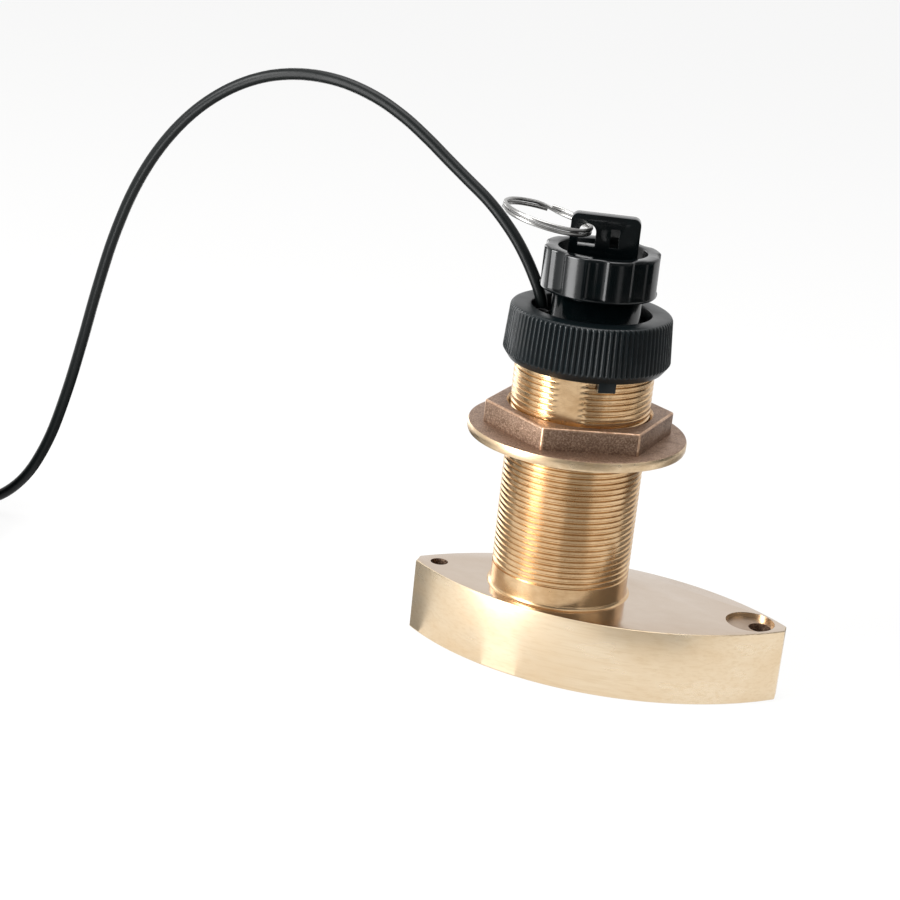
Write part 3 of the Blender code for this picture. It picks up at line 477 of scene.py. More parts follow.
def makeThread():
    # One thread profile, spun up the stem as a helix and trimmed square at both ends
    steps, pitch, radius = stem["steps"], stem["pitch"], stem["radius"]
    low, high = stem["collarTop"] - 0.05, stemTop
    turns = math.ceil((high - low) / pitch) + 2
    flank = (1 - stem["crest"] - stem["root"]) / 2 * pitch
    crest = stem["crest"] * pitch
    root = stem["core"] + stem["rootGap"]
    outline = [(root, 0), (radius, flank), (radius, flank + crest), (root, 2 * flank + crest),
               (root, pitch)]
    bm = bmesh.new()
    points = [bm.verts.new((r * mm, 0, (low - 1.5 * pitch + z) * mm)) for r, z in outline]
    wires = [bm.edges.new(pair) for pair in zip(points, points[1:])]
    bmesh.ops.spin(bm, geom=points + wires, cent=(0, 0, 0), axis=(0, 0, 1),
                   dvec=(0, 0, pitch * mm / steps), angle=2 * math.pi, steps=steps,
                   use_merge=False, use_duplicate=False)
    oneTurn = bm.verts[:] + bm.edges[:] + bm.faces[:]
    for turn in range(1, turns):
        copied = bmesh.ops.duplicate(bm, geom=oneTurn)["geom"]
        copiedVerts = [item for item in copied if isinstance(item, bmesh.types.BMVert)]
        bmesh.ops.translate(bm, verts=copiedVerts, vec=(0, 0, turn * pitch * mm))
    bmesh.ops.remove_doubles(bm, verts=bm.verts[:], dist=2e-5)
    bmesh.ops.recalc_face_normals(bm, faces=bm.faces[:])
    for height, side in ((low, -1), (high, 1)):
        bmesh.ops.bisect_plane(bm, geom=bm.verts[:] + bm.edges[:] + bm.faces[:], dist=1e-7,
                               plane_co=(0, 0, height * mm), plane_no=(0, 0, side), clear_outer=True)

    # A rim closes each end against the core
    inner = (stem["core"] - stem["rimDepth"]) * mm
    for height in (low, high):
        rim = [e for e in bm.edges if e.is_boundary
               and all(abs(v.co.z - height * mm) < 1e-6 for v in e.verts)]
        added = bmesh.ops.extrude_edge_only(bm, edges=rim)
        for vert in (item for item in added["geom"] if isinstance(item, bmesh.types.BMVert)):
            vert.co.x, vert.co.y = Vector((vert.co.x, vert.co.y)).normalized() * inner

    # The two flats are pressed in, and then the chamfer at the top
    limit = (radius - stem["flatDepth"]) * mm
    flatLow = (stemTop - stem["flatLength"]) * mm
    topLimit = stemTop - stem["chamfer"]
    for vert in bm.verts:
        if vert.co.z > flatLow and abs(vert.co.y) > limit:
            vert.co.y = math.copysign(limit, vert.co.y)
        over = vert.co.z / mm - topLimit
        if over > 0:
            aside = Vector((vert.co.x, vert.co.y))
            if aside.length > (radius - over) * mm:
                vert.co.x, vert.co.y = aside.normalized() * (radius - over) * mm
    bmesh.ops.translate(bm, verts=bm.verts[:], vec=(stemX * mm, 0, 0))
    thread = newObject("stem_thread", bm, [finish["turnedBronze"]], smoothAngle=20)
    seat(thread, "housing", "brushed_bronze")


makeHousing()
makeThread()
print("housing made")


# Hull nut

hullNut = {
    "flange": (hullNutHigh.x - hullNutLow.x) / 2 / mm,
    "low": hullNutLow.z / mm,
    "top": hullNutHigh.z / mm,
    "flangeThickness": 4.0,
    "rimRound": 0.9,
    "steps": 144,
    "corner": 34.75,
    "turn": 20.2,
    "edge": 0.7,
    "bore": 25.75,
    "boreChamfer": 1.0,
    "cornerReach": 1.2,           # how far a worn corner comes in from the hexagon's corner
    "cornerArea": 9.0,            # square millimetres, over which an upright face is a side
    "cornerHeight": 5.0,
}


def makeHullNut():
    low, top, flange = hullNut["low"], hullNut["top"], hullNut["flange"]
    rim, corner, steps = hullNut["rimRound"], hullNut["corner"], hullNut["steps"]
    hexLow = low + hullNut["flangeThickness"]
    profile = [(0, low), (flange - rim, low), (flange - rim * 0.3, low + rim * 0.3),
               (flange, low + rim), (flange, hexLow - rim),
               (flange - rim * 0.3, hexLow - rim * 0.3), (flange - rim, hexLow), (0, hexLow)]
    skins = ["castBronzeAndGlints", "machinedEdgeBronze", "wornCornerBronze"]
    nut = newObject("bronze_hull_nut", turnProfile(profile, stemX, 0, steps),
                    [finish[skin] for skin in skins])

    # The circle's first corner is on +Y
    hexagon = bmesh.new()
    bmesh.ops.create_circle(hexagon, cap_ends=True, segments=6, radius=corner * mm)
    bmesh.ops.rotate(hexagon, verts=hexagon.verts[:], cent=(0, 0, 0),
                     matrix=Matrix.Rotation(math.radians(hullNut["turn"] - 90), 3, "Z"))
    bmesh.ops.translate(hexagon, verts=hexagon.verts[:], vec=(stemX * mm, 0, 0))
    raiseOutline(hexagon, hexLow - clear, top)
    upper = [e for e in sharpEdges(hexagon) if any(v.co.z > hexLow * mm for v in e.verts)]
    softenEdges(hexagon, hullNut["edge"], 3, upper)
    bore, lead = hullNut["bore"], hullNut["boreChamfer"]
    mouth = bore + lead + clear
    room = [(0, low - clear), (mouth, low - clear), (bore, low + lead), (bore, top - lead),
            (mouth, top + clear), (0, top + clear)]
    carve(nut, [("UNION", hexagon), ("DIFFERENCE", turnProfile(room, stemX, 0, steps))],
          smoothAngle=32)

    # The rim and the bore are bright, the hexagon's corners worn, and the rest keeps its cast skin,
    # whose pale specks are painted glints
    for face in nut.data.polygons:
        corners = [nut.data.vertices[i].co for i in face.vertices]
        heights = [v.z for v in corners]
        reaches = [math.hypot(v.x / mm - stemX, v.y / mm) for v in corners]
        onRim = min(reaches) > flange - rim - 0.05 and face.normal.z < 0.5
        inBore = max(reaches) < bore + lead + 0.3
        slants = 0.1 < abs(face.normal.z) < 0.97
        onHexEdge = face.center.z > (hexLow + 0.3) * mm and slants and max(reaches) < flange - rim - 1
        onCorner = (max(reaches) > corner - hullNut["cornerReach"]
                    and face.area < hullNut["cornerArea"] * mm * mm
                    and max(heights) - min(heights) > hullNut["cornerHeight"] * mm)
        if onRim or inBore:
            face.material_index = skins.index("machinedEdgeBronze")
        elif onHexEdge or onCorner:
            face.material_index = skins.index("wornCornerBronze")
    seat(nut, "hull_nut", "cast_bronze", "hull_nut")


makeHullNut()
print("hull nut made")


# Ring nut

ringNut = {
    "top": ringNutHigh.z / mm,
    "height": 20.0,
    "lowRadius": 30.4,
    "topRadius": 29.3,
    "footRadius": 28.2,
    "footEdge": 0.3,
    "chamfer": 3.4,
    "topRound": 1.8,
    "ribs": 90,
    "ribDepth": 0.75,
    "ribWidth": 1.4,              # over 1 makes the ribs wider than the grooves
    "samples": 8,                 # columns to a rib
    "lip": 4.0,
    "hole": 21.65,
    "holeEdge": 0.5,
    "room": 25.7,
    "lug": (6.5, 2.2, 3.2),       # width, thickness, height
    "lugSunk": 2,                 # how far the lug goes up into the nut
    "lugEdge": 0.35,
    "lugTurn": -62,
}


def makeRingNut():
    top = ringNut["top"]
    low = top - ringNut["height"]
    ribLow, ribHigh = low + ringNut["chamfer"], top - ringNut["topRound"]
    lowRadius, topRadius = ringNut["lowRadius"], ringNut["topRadius"]
    footRadius, footEdge = ringNut["footRadius"], ringNut["footEdge"]
    outside = [(ringNut["room"], low), (footRadius - footEdge, low), (footRadius, low + footEdge)]
    outside += [(footRadius + (lowRadius - footRadius) * share,
                 low + footEdge + (ringNut["chamfer"] - footEdge) * share)
                for share in (0.55, 0.66, 0.77, 0.88, 1.0)]
    outside += [(lowRadius + (topRadius - lowRadius) * share, ribLow + (ribHigh - ribLow) * share)
                for share in (0.5, 1.0)]
    rounding = ringNut["topRound"]
    outside += [(topRadius - rounding * (1 - math.cos(a)), ribHigh + rounding * math.sin(a))
                for a in (math.radians(18 * i) for i in range(1, 6))]
    hole, edge = ringNut["hole"], ringNut["holeEdge"]
    outside += [(hole + edge, top), (hole + edge * 0.3, top - edge * 0.3), (hole, top - edge),
                (hole, top - ringNut["lip"]), (ringNut["room"], top - ringNut["lip"])]
    steps = ringNut["ribs"] * ringNut["samples"]
    bm = turnProfile(outside, steps=steps)

    # The grooves are cut straight along the cone and run out in the chamfer and the top's round
    slope = (topRadius - lowRadius) / (ribHigh - ribLow)
    for vert in bm.verts:
        radius = math.hypot(vert.co.x, vert.co.y) / mm
        if radius < hole + 3:
            continue
        crest = lowRadius + slope * (vert.co.z / mm - ribLow)
        wave = 0.5 - 0.5 * math.cos(math.atan2(vert.co.y, vert.co.x) * ringNut["ribs"])
        cutTo = crest - ringNut["ribDepth"] * wave ** ringNut["ribWidth"]
        if cutTo < radius:
            vert.co.xy *= cutTo / radius
    bmesh.ops.translate(bm, verts=bm.verts[:], vec=(stemX * mm, 0, 0))
    nut = newObject("ribbed_ring_nut", bm, [finish["mattBlackNylon"]], smoothAngle=50)

    width, thickness, height = ringNut["lug"]
    whole = height + ringNut["lugSunk"]
    lug = bmesh.new()
    bmesh.ops.create_cube(lug, size=mm)
    bmesh.ops.scale(lug, vec=(thickness, width, whole), verts=lug.verts[:])
    softenEdges(lug, ringNut["lugEdge"], 2, sharpEdges(lug))
    bmesh.ops.translate(lug, verts=lug.verts[:], vec=(
        (ringNut["room"] + 0.3 + thickness / 2) * mm, 0, (low - height + whole / 2) * mm))
    bmesh.ops.rotate(lug, verts=lug.verts[:], cent=(0, 0, 0),
                     matrix=Matrix.Rotation(math.radians(ringNut["lugTurn"]), 3, "Z"))
    bmesh.ops.translate(lug, verts=lug.verts[:], vec=(stemX * mm, 0, 0))
    seat(nut, "ring_nut", "matt_black_nylon", "ring_nut")
    seat(newObject("ring_nut_lug", lug, [finish["mattBlackNylon"]]), "ring_nut", "matt_black_nylon")


makeRingNut()
print("ring nut made")


# Cap nut

capNut = {
    "radius": (capNutHigh.x - capNutLow.x) / 2 / mm,
    "low": capNutLow.z / mm,
    "top": capNutHigh.z / mm,
    "edge": 0.8,
    "lobes": 8,
    "turn": 30,
    "flute": 8.0,                 # radius of the cylinder that cuts a flute
    "fluteReach": 27.5,           # and its axis from the nut's
    "fluteLow": 1.3,              # plain rim below the flutes
    "blend": 0.45,
    "samples": 44,                # columns to a lobe
    "rows": 22,
    "recess": 15.95,
    "recessDepth": 4.5,
    "lip": 2.6,
    "lipHole": 13.3,
    "neckRoom": 16.3,
}


def softLeast(a, b, blend):
    # The smaller of two lengths, rounded over where they are close
    share = max(blend - abs(a - b), 0) / blend
    return min(a, b) - share * share * blend / 4


def fluteRadius(angle):
    # How far out the nut reaches at this angle once its nearest flute is cut
    spacing = 2 * math.pi / capNut["lobes"]
    offset = (angle - math.radians(capNut["turn"])) % spacing - spacing / 2
    aside = capNut["fluteReach"] * math.sin(offset)
    if abs(aside) >= capNut["flute"]:
        return None
    return capNut["fluteReach"] * math.cos(offset) - math.sqrt(capNut["flute"] ** 2 - aside ** 2)


def makeCapNut():
    low, top, radius, edge = capNut["low"], capNut["top"], capNut["radius"], capNut["edge"]
    lipTop = top - capNut["recessDepth"]
    lipLow = lipTop - capNut["lip"]
    fluteLow = low + capNut["fluteLow"]
    outside = [(capNut["neckRoom"], low), (radius - edge, low)]
    outside += [(radius - edge + edge * math.sin(a), low + edge - edge * math.cos(a))
                for a in (math.radians(30 * i) for i in range(1, 4))]

    # The rows lie close together where the flutes begin
    count = capNut["rows"]
    rows = [fluteLow - 0.15, fluteLow + 0.02, fluteLow + 0.25, fluteLow + 0.6]
    rows += [fluteLow + 1.2 + (top - edge - fluteLow - 1.2) * i / count for i in range(count + 1)]
    outside += [(radius, row) for row in rows]
    outside += [(radius - edge + edge * math.cos(a), top - edge + edge * math.sin(a))
                for a in (math.radians(22.5 * i) for i in range(1, 5))]
    recess, hole = capNut["recess"], capNut["lipHole"]
    outside += [(recess + 0.5, top), (recess + 0.15, top - 0.15), (recess, top - 0.5),
                (recess, lipTop + 0.3), (recess - 0.3, lipTop), (hole, lipTop), (hole, lipLow),
                (capNut["neckRoom"], lipLow)]
    bm = turnProfile(outside, steps=capNut["lobes"] * capNut["samples"])
    for vert in bm.verts:
        reach = math.hypot(vert.co.x, vert.co.y) / mm
        if reach < recess + 1.5 or vert.co.z / mm < fluteLow:
            continue
        cutTo = fluteRadius(math.atan2(vert.co.y, vert.co.x))
        if cutTo is not None:         # the top's round edge keeps its shape in the flute
            vert.co.xy *= softLeast(reach, cutTo + reach - radius, capNut["blend"]) / reach
    bmesh.ops.translate(bm, verts=bm.verts[:], vec=(boreX * mm, 0, 0))
    nut = newObject("lobed_cap_nut", bm, [finish["glossBlackAbs"]], smoothAngle=60)
    seat(nut, "cap_nut", "gloss_black_abs", "cap_nut")


makeCapNut()
print("cap nut made")


# Insert and its pull ring

insert = {
    "radius": 13.9,
    "steps": 128,
    "foot": insertLow.z / mm,
    "footEdge": 0.6,
    "flangeLow": 146.5,
    "flangeRadius": 15.9,
    "flangeTop": 148.9,
    "bossRadius": 13.0,
    "bossTop": 152.0,
    "bossEdge": 0.4,
    "handleLength": 24.7,
    "handleThickness": 5.0,
    "handleTop": insertHigh.z / mm,
    "handleCorner": 2.6,
    "handleEdge": 0.5,
    "turn": 10,
    "arch": (-6.25, 6.1, 157.0, 165.0),       # middle, width, low, top
    "slot": (3.55, 3.1, 157.2, 164.0),
    "archCut": 12,                # thickness of the cutter
    "slotBack": 1.4,              # what is left behind the slot
    "slotCorner": 0.4,
    "grooves": (122.2, 20.2, 12.2),       # for the seals, down from the sleeve's top
    "grooveRadius": 11.8,
    "grooveHalf": 1.2,            # half the groove's height
    "fork": 5.2,                  # half the wheel's gap
    "forkTop": 20.8,
    "axleHole": (1.5, 10.4),      # radius and height
    "axleHoleReach": 20,
}

pullRing = {
    "place": (-5.2, 162.3),       # along the handle from its middle, and height
    "radius": 15.9,
    "wire": 1.45,
    "halfGap": 0.06,              # half the gap between the two turns
    "tilt": 10.9,
    "turns": 1.985,
    "step": (0.47, 0.06),         # where the wire steps over and for how long, as shares of it
    "points": 150,
}


def onHandle(bm):
    # Turns and moves a mesh made at the origin to the insert's axis
    bmesh.ops.rotate(bm, verts=bm.verts[:], cent=(0, 0, 0),
                     matrix=Matrix.Rotation(math.radians(insert["turn"]), 3, "Z"))
    bmesh.ops.translate(bm, verts=bm.verts[:], vec=(boreX * mm, 0, 0))


def roundedPlate(middle, width, low, top, corners, thickness, steps=8):
    # An upright plate in the XZ plane with rounded upper corners
    bm = bmesh.new()
    bmesh.ops.create_cube(bm, size=mm)
    bmesh.ops.scale(bm, vec=(width, thickness, top - low), verts=bm.verts[:])
    bmesh.ops.translate(bm, verts=bm.verts[:], vec=(middle * mm, 0, (low + top) / 2 * mm))
    upper = [e for e in bm.edges if all(v.co.z > (top - 0.01) * mm for v in e.verts)
             and abs(e.verts[0].co.y - e.verts[1].co.y) > mm]
    softenEdges(bm, corners, steps, upper)
    return bm


def makeInsert():
    radius, foot, footEdge = insert["radius"], insert["foot"], insert["footEdge"]
    groove, half = insert["grooveRadius"], insert["grooveHalf"]
    profile = [(0, foot), (radius - footEdge, foot), (radius, foot + footEdge)]
    for drop in insert["grooves"]:
        height = sleeveHigh.z / mm - drop
        profile += [(radius, height - half), (groove, height - half), (groove, height + half),
                    (radius, height + half)]
    flange, flangeTop = insert["flangeRadius"], insert["flangeTop"]
    boss, bossTop, bossEdge = insert["bossRadius"], insert["bossTop"], insert["bossEdge"]
    profile += [(radius, insert["flangeLow"]), (flange, insert["flangeLow"]), (flange, flangeTop),
                (boss, flangeTop), (boss, bossTop - bossEdge), (boss - bossEdge, bossTop),
                (0, bossTop)]
    body = newObject("insert_plug", turnProfile(profile, boreX, 0, insert["steps"]),
                     [finish["glossBlackAbs"]])

    # The foot is forked for the wheel, and the axle's hole goes through both prongs
    forkTop = insert["forkTop"]
    fork = bmesh.new()
    bmesh.ops.create_cube(fork, size=mm)
    bmesh.ops.scale(fork, vec=(2 * radius + 4 * clear, 2 * insert["fork"], forkTop + 2 * clear),
                    verts=fork.verts[:])
    bmesh.ops.translate(fork, verts=fork.verts[:], vec=(boreX * mm, 0, (forkTop / 2 - clear) * mm))
    holeRadius, holeHeight = insert["axleHole"]
    reach = insert["axleHoleReach"]
    hole = turnProfile(discProfile(holeRadius, -reach, reach), steps=40)
    bmesh.ops.rotate(hole, verts=hole.verts[:], cent=(0, 0, 0),
                     matrix=Matrix.Rotation(math.pi / 2, 3, "X"))
    bmesh.ops.translate(hole, verts=hole.verts[:], vec=(boreX * mm, 0, holeHeight * mm))
    carve(body, [("DIFFERENCE", fork), ("DIFFERENCE", hole)], smoothAngle=32)
    seat(body, "insert", "gloss_black_abs", "insert_body")

    # The handle is a plate with an arch for the ring and a slot beside it
    thickness = insert["handleThickness"]
    plate = roundedPlate(0, insert["handleLength"], bossTop - 0.3, insert["handleTop"],
                         insert["handleCorner"], thickness)
    handle = newObject("insert_handle", plate, [finish["glossBlackAbs"]])
    middle, width, low, top = insert["arch"]
    arch = roundedPlate(middle, width, low, top, width / 2 - 0.02, insert["archCut"], steps=12)
    middle, width, low, top = insert["slot"]
    slot = roundedPlate(middle, width, low, top, insert["slotCorner"], thickness, steps=3)
    bmesh.ops.translate(slot, verts=slot.verts[:], vec=(0, -insert["slotBack"] * mm, 0))
    carve(handle, [("DIFFERENCE", arch), ("DIFFERENCE", slot)])
    bm = bmesh.new()
    bm.from_mesh(handle.data)
    bmesh.ops.remove_doubles(bm, verts=bm.verts[:], dist=1e-6)
    outer = [e for e in sharpEdges(bm, 50) if abs(e.verts[0].co.y - e.verts[1].co.y) < 1e-5
             and all(abs(abs(v.co.y) - thickness / 2 * mm) < 1e-5 for v in e.verts)]
    softenEdges(bm, insert["handleEdge"], 3, outer)
    onHandle(bm)
    bm.to_mesh(handle.data)
    bm.free()
    handle.data.shade_smooth()
    handle.data.set_sharp_from_angle(angle=math.radians(35))
    seat(handle, "insert", "gloss_black_abs")


def makePullRing():
    # Two turns of wire side by side, with the step between them half way along
    turn = Matrix.Rotation(math.radians(insert["turn"]), 3, "Z")
    tilt = Matrix.Rotation(math.radians(pullRing["tilt"]), 3, "Y")
    along, height = pullRing["place"]
    pivot = Vector((boreX, 0, height)) + turn @ Vector((along, 0, 0))
    radius = pullRing["radius"]
    offset = pullRing["wire"] / 2 + pullRing["halfGap"]
    stepStart, stepLength = pullRing["step"]
    curve = bpy.data.curves.new("split_ring", "CURVE")
    curve.dimensions = "3D"
    curve.bevel_depth = pullRing["wire"] / 2 * mm
    curve.bevel_resolution = 4
    curve.use_fill_caps = True
    line = curve.splines.new("POLY")
    line.points.add(pullRing["points"])
    for i, spot in enumerate(line.points):
        share = i / pullRing["points"]
        angle = math.pi / 2 + (share - 0.5) * pullRing["turns"] * 2 * math.pi
        level = min(max((share - stepStart) / stepLength, 0), 1)
        side = offset * (2 * level ** 2 * (3 - 2 * level) - 1)
        point = Vector((radius * math.cos(angle) - radius, radius * math.sin(angle), side))
        spot.co = (*((pivot + turn @ (tilt @ point)) * mm), 1)
    curve.materials.append(finish["drawnStainlessWire"])
    ring = bpy.data.objects.new("split_ring", curve)
    bpy.context.scene.collection.objects.link(ring)
    seat(ring, "pull_ring", "stainless_steel", "pull_ring")


makeInsert()
makePullRing()
print("insert made")


# Cable

cable = {
    "radius": 2.2,
    "length": 10.0,
    "route": [
        (-33.8, 0.8, 131.3), (-34.6, 1.0, 134.2), (-35.9, 1.2, 137.5), (-37.8, 1.3, 141.2),
        (-41.5, 1.9, 147.3), (-46.3, 2.8, 153.8), (-52.1, 3.9, 160.0), (-59.1, 5.3, 166.1),
        (-67.5, 6.8, 171.9), (-75.9, 8.3, 177.7), (-84.8, 9.8, 184.0), (-95.0, 11.2, 190.4),
        (-107.0, 12.5, 195.9), (-121.0, 13.6, 199.4), (-136.0, 14.2, 199.8), (-151.0, 14.9, 196.6),
        (-165.5, 15.8, 189.4), (-179.0, 16.9, 178.5), (-191.0, 18.1, 164.0), (-201.0, 19.4, 146.5),
        (-209.0, 20.7, 126.0), (-215.5, 22.0, 103.5), (-221.5, 23.4, 80.0), (-228.0, 24.9, 57.0),
        (-235.5, 26.4, 36.0), (-245.5, 27.8, 18.5), (-258.5, 28.7, 7.0), (-274.0, 29.1, 2.9),
        (-290.0, 29.2, 2.3),
    ],
    "tail": [                     # along from the coil's middle, and height
        (0, 12.0), (4.1, 11.38), (8.2, 10.57), (12.3, 9.88), (16.4, 9.7),
    ],
    "coilRadius": 34.5,           # half way between the coil's inner and outer turns
    "levels": 8,
    "turns": 43,
    "pitch": 4.45,
    "firstLevel": 3.6,
    "sideRadius": 51.15,          # where the cable runs into the coil's side and out of it
    "perTurn": 36,
}


def smoothThrough(points, parts=6):
    # A smooth line through all the points, with this many parts to a stretch
    points = [Vector(p) for p in points]
    ends = [2 * points[0] - points[1]] + points + [2 * points[-1] - points[-2]]
    fine = []
    for before, start, end, after in zip(ends, ends[1:], ends[2:], ends[3:]):
        for step in range(parts):
            t = step / parts
            fine.append(0.5 * (2 * start + (end - before) * t
                               + (2 * before - 5 * start + 4 * end - after) * t ** 2
                               + (3 * start - before - 3 * end + after) * t ** 3))
    return fine + [points[-1]]


def easeIn(share):
    return share * share * (3 - 2 * share)


def coilPoints(centreX, centreY):
    # Flat spirals, one on another: in at the bottom, out on the next level, and so on up
    levels, turns, pitch, side = [cable[key] for key in ("levels", "turns", "pitch", "sideRadius")]
    perLevel = turns / levels
    outer = cable["coilRadius"] + perLevel * pitch / 2
    start, low, tailHeight = cable["route"][-1][2], cable["firstLevel"], cable["tail"][0][1]
    quarter = cable["perTurn"] // 4
    points = []                   # radius, turn and height

    # A quarter turn leads in from the side to the bottom level
    for i in range(1, quarter):
        share = i / quarter
        points.append((side + (outer - side) * easeIn(share), 0.25 * share,
                       start + (low - start) * easeIn(share)))

    # A step up to the next level takes a third of a turn
    for i in range(turns * cable["perTurn"] + 1):
        turn = i / cable["perTurn"]
        level = turn / perLevel
        fold = abs((level % 2) - 1)
        nearest = min(max(round(level), 1), levels - 1)
        rise = min(max((turn - nearest * perLevel) * 3 + 0.5, 0), 1)
        points.append((outer - (1 - fold) * perLevel * pitch, 0.25 + turn,
                       low + (nearest - 1 + easeIn(rise)) * pitch))

    # A quarter turn leads out and down to the tail
    top = points[-1][2]
    for i in range(1, quarter):
        share = i / quarter
        drop = (top - tailHeight) * (0.25 * share + 0.75 * easeIn(share))
        points.append((outer + (side - outer) * easeIn(share), 0.25 + turns + 0.25 * share,
                       top - drop))
    return [Vector((centreX + radius * math.cos(math.pi / 2 + turn * 2 * math.pi),
                    centreY + radius * math.sin(math.pi / 2 + turn * 2 * math.pi), height))
            for radius, turn, height in points]


def makeCable():
    endX, endY = cable["route"][-1][:2]
    coilY = endY - cable["sideRadius"]
    points = smoothThrough(cable["route"]) + coilPoints(endX, coilY)
    points += smoothThrough([(endX + along, coilY - cable["sideRadius"], height)
                             for along, height in cable["tail"]], parts=3)
    curve = bpy.data.curves.new("transducer_cable", "CURVE")
    curve.dimensions = "3D"
    curve.bevel_depth = cable["radius"] * mm
    curve.bevel_resolution = 3
    curve.use_fill_caps = True
    line = curve.splines.new("POLY")
    line.points.add(len(points) - 1)
    for spot, point in zip(line.points, points):
        spot.co = (*(point * mm), 1)
    curve.materials.append(finish["cableJacket"])
    lead = bpy.data.objects.new("transducer_cable", curve)
    bpy.context.scene.collection.objects.link(lead)
    seat(lead, "housing", "cable_jacket", "cable_lead", "cable_coil", "cable_tail")
    return lead


lead = makeCable()
print("cable made")


# Pieces that keep their CAD shapes, merged and finished

keptPieces = [
    ("insert_sleeve", "housing", "gloss_black_abs", finish["glossBlackAbs"]),
    ("sleeve_gasket", "housing", "black_rubber", finish["mouldedRubber"]),
    ("potting", "housing", "black_urethane", finish["castUrethane"]),
    ("ceramic_element", "housing", "piezo_ceramic", finish["firedPiezoCeramic"]),
    ("cork_backing", "housing", "cork", finish["pressedCork"]),
    ("speed_sensor", "housing", "matt_black_nylon", finish["mattBlackNylon"]),
    ("temperature_sensor", "housing", "brass", finish["turnedBrass"]),
    ("signal_lead", "housing", "cable_jacket", finish["cableJacket"]),
    ("cable_gland", "housing", "black_rubber", finish["mouldedRubber"]),
    ("coil_tie_1", "housing", "nylon_strap", finish["nylonStrap"]),
    ("coil_tie_2", "housing", "nylon_strap", finish["nylonStrap"]),
    ("plug_boot", "housing", "black_rubber", finish["mouldedRubber"]),
    ("plug_body", "housing", "matt_black_nylon", finish["mattBlackNylon"]),
    ("plug_insert", "housing", "matt_black_nylon", finish["machinedAcetal"]),
    ("plug_collar", "plug_collar", "stainless_steel", finish["nickelPlate"]),
    ("paddlewheel", "paddlewheel", "grey_acetal", finish["machinedAcetal"]),
    ("paddlewheel_axle", "insert", "stainless_steel", finish["drawnStainlessWire"]),
]
keptPieces += [(f"plug_pin_{i}", "housing", "brass", finish["turnedBrass"])
               for i in range(1, 6)]
keptPieces += [(f"wheel_magnet_{i}", "paddlewheel", "ferrite", finish["groundFerrite"])
               for i in range(1, 5)]
keptPieces += [(f"insert_o_ring_{i}", "insert", "black_rubber", finish["mouldedRubber"])
               for i in range(1, 4)]

kept = {name: finishedCopy(name, body, slotName, material)
        for name, body, slotName, material in keptPieces}

print("kept pieces finished")


# Studio: floor, lamps, screens, world and camera

studio = {
    "floorRadius": 6000,
    "floorColour": "#E9E8E6",
    "floorRoughness": 0.85,
    "whiteShare": 0.86,           # how far the floor turns to plain white where the camera sees it
    "worldLight": 0.5,
    "screenSteps": 24,
    "lamps": {                    # place, target, width and height, watts
        "leftSoftbox": ((-900, -700, 700), (-15, 0, 80), (420, 700), 13),
        "rightSoftbox": ((900, -300, 500), (-15, 0, 80), (250, 700), 4),
        "overhead": ((0, 100, 1200), (0, 0, 0), (700, 700), 9),
        "leftStrip": ((-215, -210, 160), (-15, 0, 160), (90, 320), 0.95),
        "backStrip": ((-238, 186, 130), (-15, 0, 130), (110, 240), 0.20),
    },
    "screens": {                  # from and to azimuth, two (distance, height) ends, and brightness
        "frontScreen": (-114, -46, (330, 46), (330, 98), 0.01),
        "rightScreen": (-38, 42, (330, 46), (330, 98), 0.01),
        "upperScreen": (-114, 42, (330, 98), (330, 480), 0.22),
        "frontCard": (-88, -46, (130, 0.4), (370, 0.4), 0.45),
        "nutCard": (-95, -30, (371, 0.4), (440, 0.4), 0.02),
        "leftCard": (136, 171, (130, 0.4), (370, 0.4), 0.05),
        "rightCard": (22, 62, (110, 0.4), (400, 0.4), 0.25),
        "endCard": (-198, -174, (60, 0.6), (230, 0.6), 0.35),
        "glowCard": (-146, -128, (30, 0.6), (135, 0.6), 1.6),
        "handleCard": (-86, -76, (328, 88), (328, 98), 4.0),
    },
}


def makeFloor():
    bm = bmesh.new()
    bmesh.ops.create_circle(bm, cap_ends=True, segments=96, radius=studio["floorRadius"] * mm)
    material = bpy.data.materials.new("paintedFloor")
    material.use_nodes = True
    tree = material.node_tree
    shader = tree.nodes["Principled BSDF"]
    shader.inputs["Base Color"].default_value = linearColour(studio["floorColour"])
    shader.inputs["Roughness"].default_value = studio["floorRoughness"]
    rays = addNode(tree, "LightPath")
    seen = addNode(tree, "Math", {"operation": "MAXIMUM"},
                   {0: rays.outputs["Is Camera Ray"], 1: rays.outputs["Is Glossy Ray"]})
    both = addNode(tree, "Math", {"operation": "MAXIMUM"},
                   {0: seen.outputs[0], 1: rays.outputs["Is Transmission Ray"]})
    share = addNode(tree, "Math", {"operation": "MULTIPLY"},
                    {0: both.outputs[0], 1: studio["whiteShare"]})
    white = addNode(tree, "Emission", {}, {"Color": (1, 1, 1, 1), "Strength": 1.0})
    blend = addNode(tree, "MixShader", {},
                    {"Fac": share.outputs[0], 1: shader.outputs[0], 2: white.outputs[0]})
    tree.links.new(blend.outputs[0], tree.nodes["Material Output"].inputs["Surface"])
    newObject("floor", bm, [material])


def makeLamp(name):
    place, target, size, watts = studio["lamps"][name]
    light = bpy.data.lights.new(name, "AREA")
    light.shape = "RECTANGLE"
    light.size, light.size_y = size[0] * mm, size[1] * mm
    light.energy = watts
    lamp = bpy.data.objects.new(name, light)
    bpy.context.scene.collection.objects.link(lamp)
    lamp.location = Vector(place) * mm
    lamp.rotation_euler = (Vector(target) - Vector(place)).to_track_quat("-Z", "Y").to_euler()
    lamp.visible_camera = False


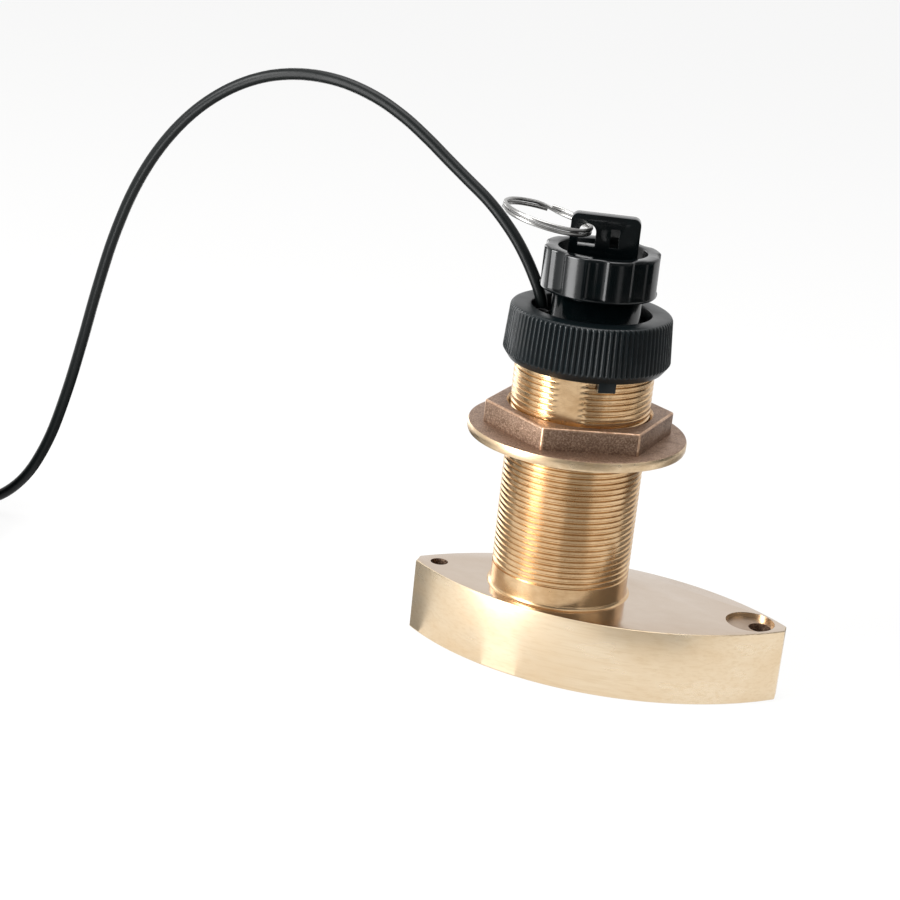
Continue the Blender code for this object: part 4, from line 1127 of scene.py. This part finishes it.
def makeScreen(name):
    # A card round the object, upright or on the floor, that only the reflections see
    start, end, first, last, brightness = studio["screens"][name]
    bm = bmesh.new()
    side = [bm.verts.new((distance * mm, 0, height * mm)) for distance, height in (first, last)]
    edge = bm.edges.new(side)
    bmesh.ops.rotate(bm, verts=side, cent=(0, 0, 0),
                     matrix=Matrix.Rotation(math.radians(start), 3, "Z"))
    bmesh.ops.spin(bm, geom=side + [edge], cent=(0, 0, 0), axis=(0, 0, 1),
                   angle=math.radians(end - start), steps=studio["screenSteps"],
                   use_merge=False, use_duplicate=False)
    material = bpy.data.materials.new(name)
    material.use_nodes = True
    tree = material.node_tree
    glow = addNode(tree, "Emission", {}, {"Color": (1, 1, 1, 1), "Strength": brightness})
    tree.links.new(glow.outputs[0], tree.nodes["Material Output"].inputs["Surface"])
    screen = newObject(name, bm, [material])
    screen.visible_camera = False
    screen.visible_diffuse = False
    screen.visible_shadow = False
    screen.visible_transmission = False


def makeWorld():
    world = bpy.data.worlds.new("studio")
    bpy.context.scene.world = world
    world.use_nodes = True
    tree = world.node_tree
    background = tree.nodes["Background"]
    rays = addNode(tree, "LightPath")
    seen = addNode(tree, "Math", {"operation": "MAXIMUM"},
                   {0: rays.outputs["Is Camera Ray"], 1: rays.outputs["Is Glossy Ray"]})
    both = addNode(tree, "Math", {"operation": "MAXIMUM"},
                   {0: seen.outputs[0], 1: rays.outputs["Is Transmission Ray"]})
    strength = addNode(tree, "MapRange", {},
                       {"Value": both.outputs[0], "To Min": studio["worldLight"]})
    tree.links.new(strength.outputs["Result"], background.inputs["Strength"])
    background.inputs["Color"].default_value = (1, 1, 1, 1)


view = {                          # degrees and millimetres
    "place": (116.7, -743.2, 322.8),
    "azimuth": -13.52,
    "elevation": 18.17,
    "roll": 6.02,
    "lens": 86.73,
    "sensor": 36.0,
    "clip": (0.01, 50),           # metres
}


def makeCamera():
    camera = bpy.data.cameras.new("camera")
    camera.sensor_width = view["sensor"]
    camera.lens = view["lens"]
    camera.clip_start, camera.clip_end = view["clip"]
    eye = bpy.data.objects.new("camera", camera)
    bpy.context.scene.collection.objects.link(eye)
    eye.matrix_world = (Matrix.Translation(Vector(view["place"]) * mm)
                        @ Matrix.Rotation(math.radians(-view["azimuth"]), 4, "Z")
                        @ Matrix.Rotation(math.radians(90 - view["elevation"]), 4, "X")
                        @ Matrix.Rotation(math.radians(view["roll"]), 4, "Z"))
    bpy.context.scene.camera = eye


makeFloor()
makeWorld()
for lampName in studio["lamps"]:
    makeLamp(lampName)
for screenName in studio["screens"]:
    makeScreen(screenName)
makeCamera()
bpy.context.scene.view_settings.view_transform = "Standard"
print("studio set")
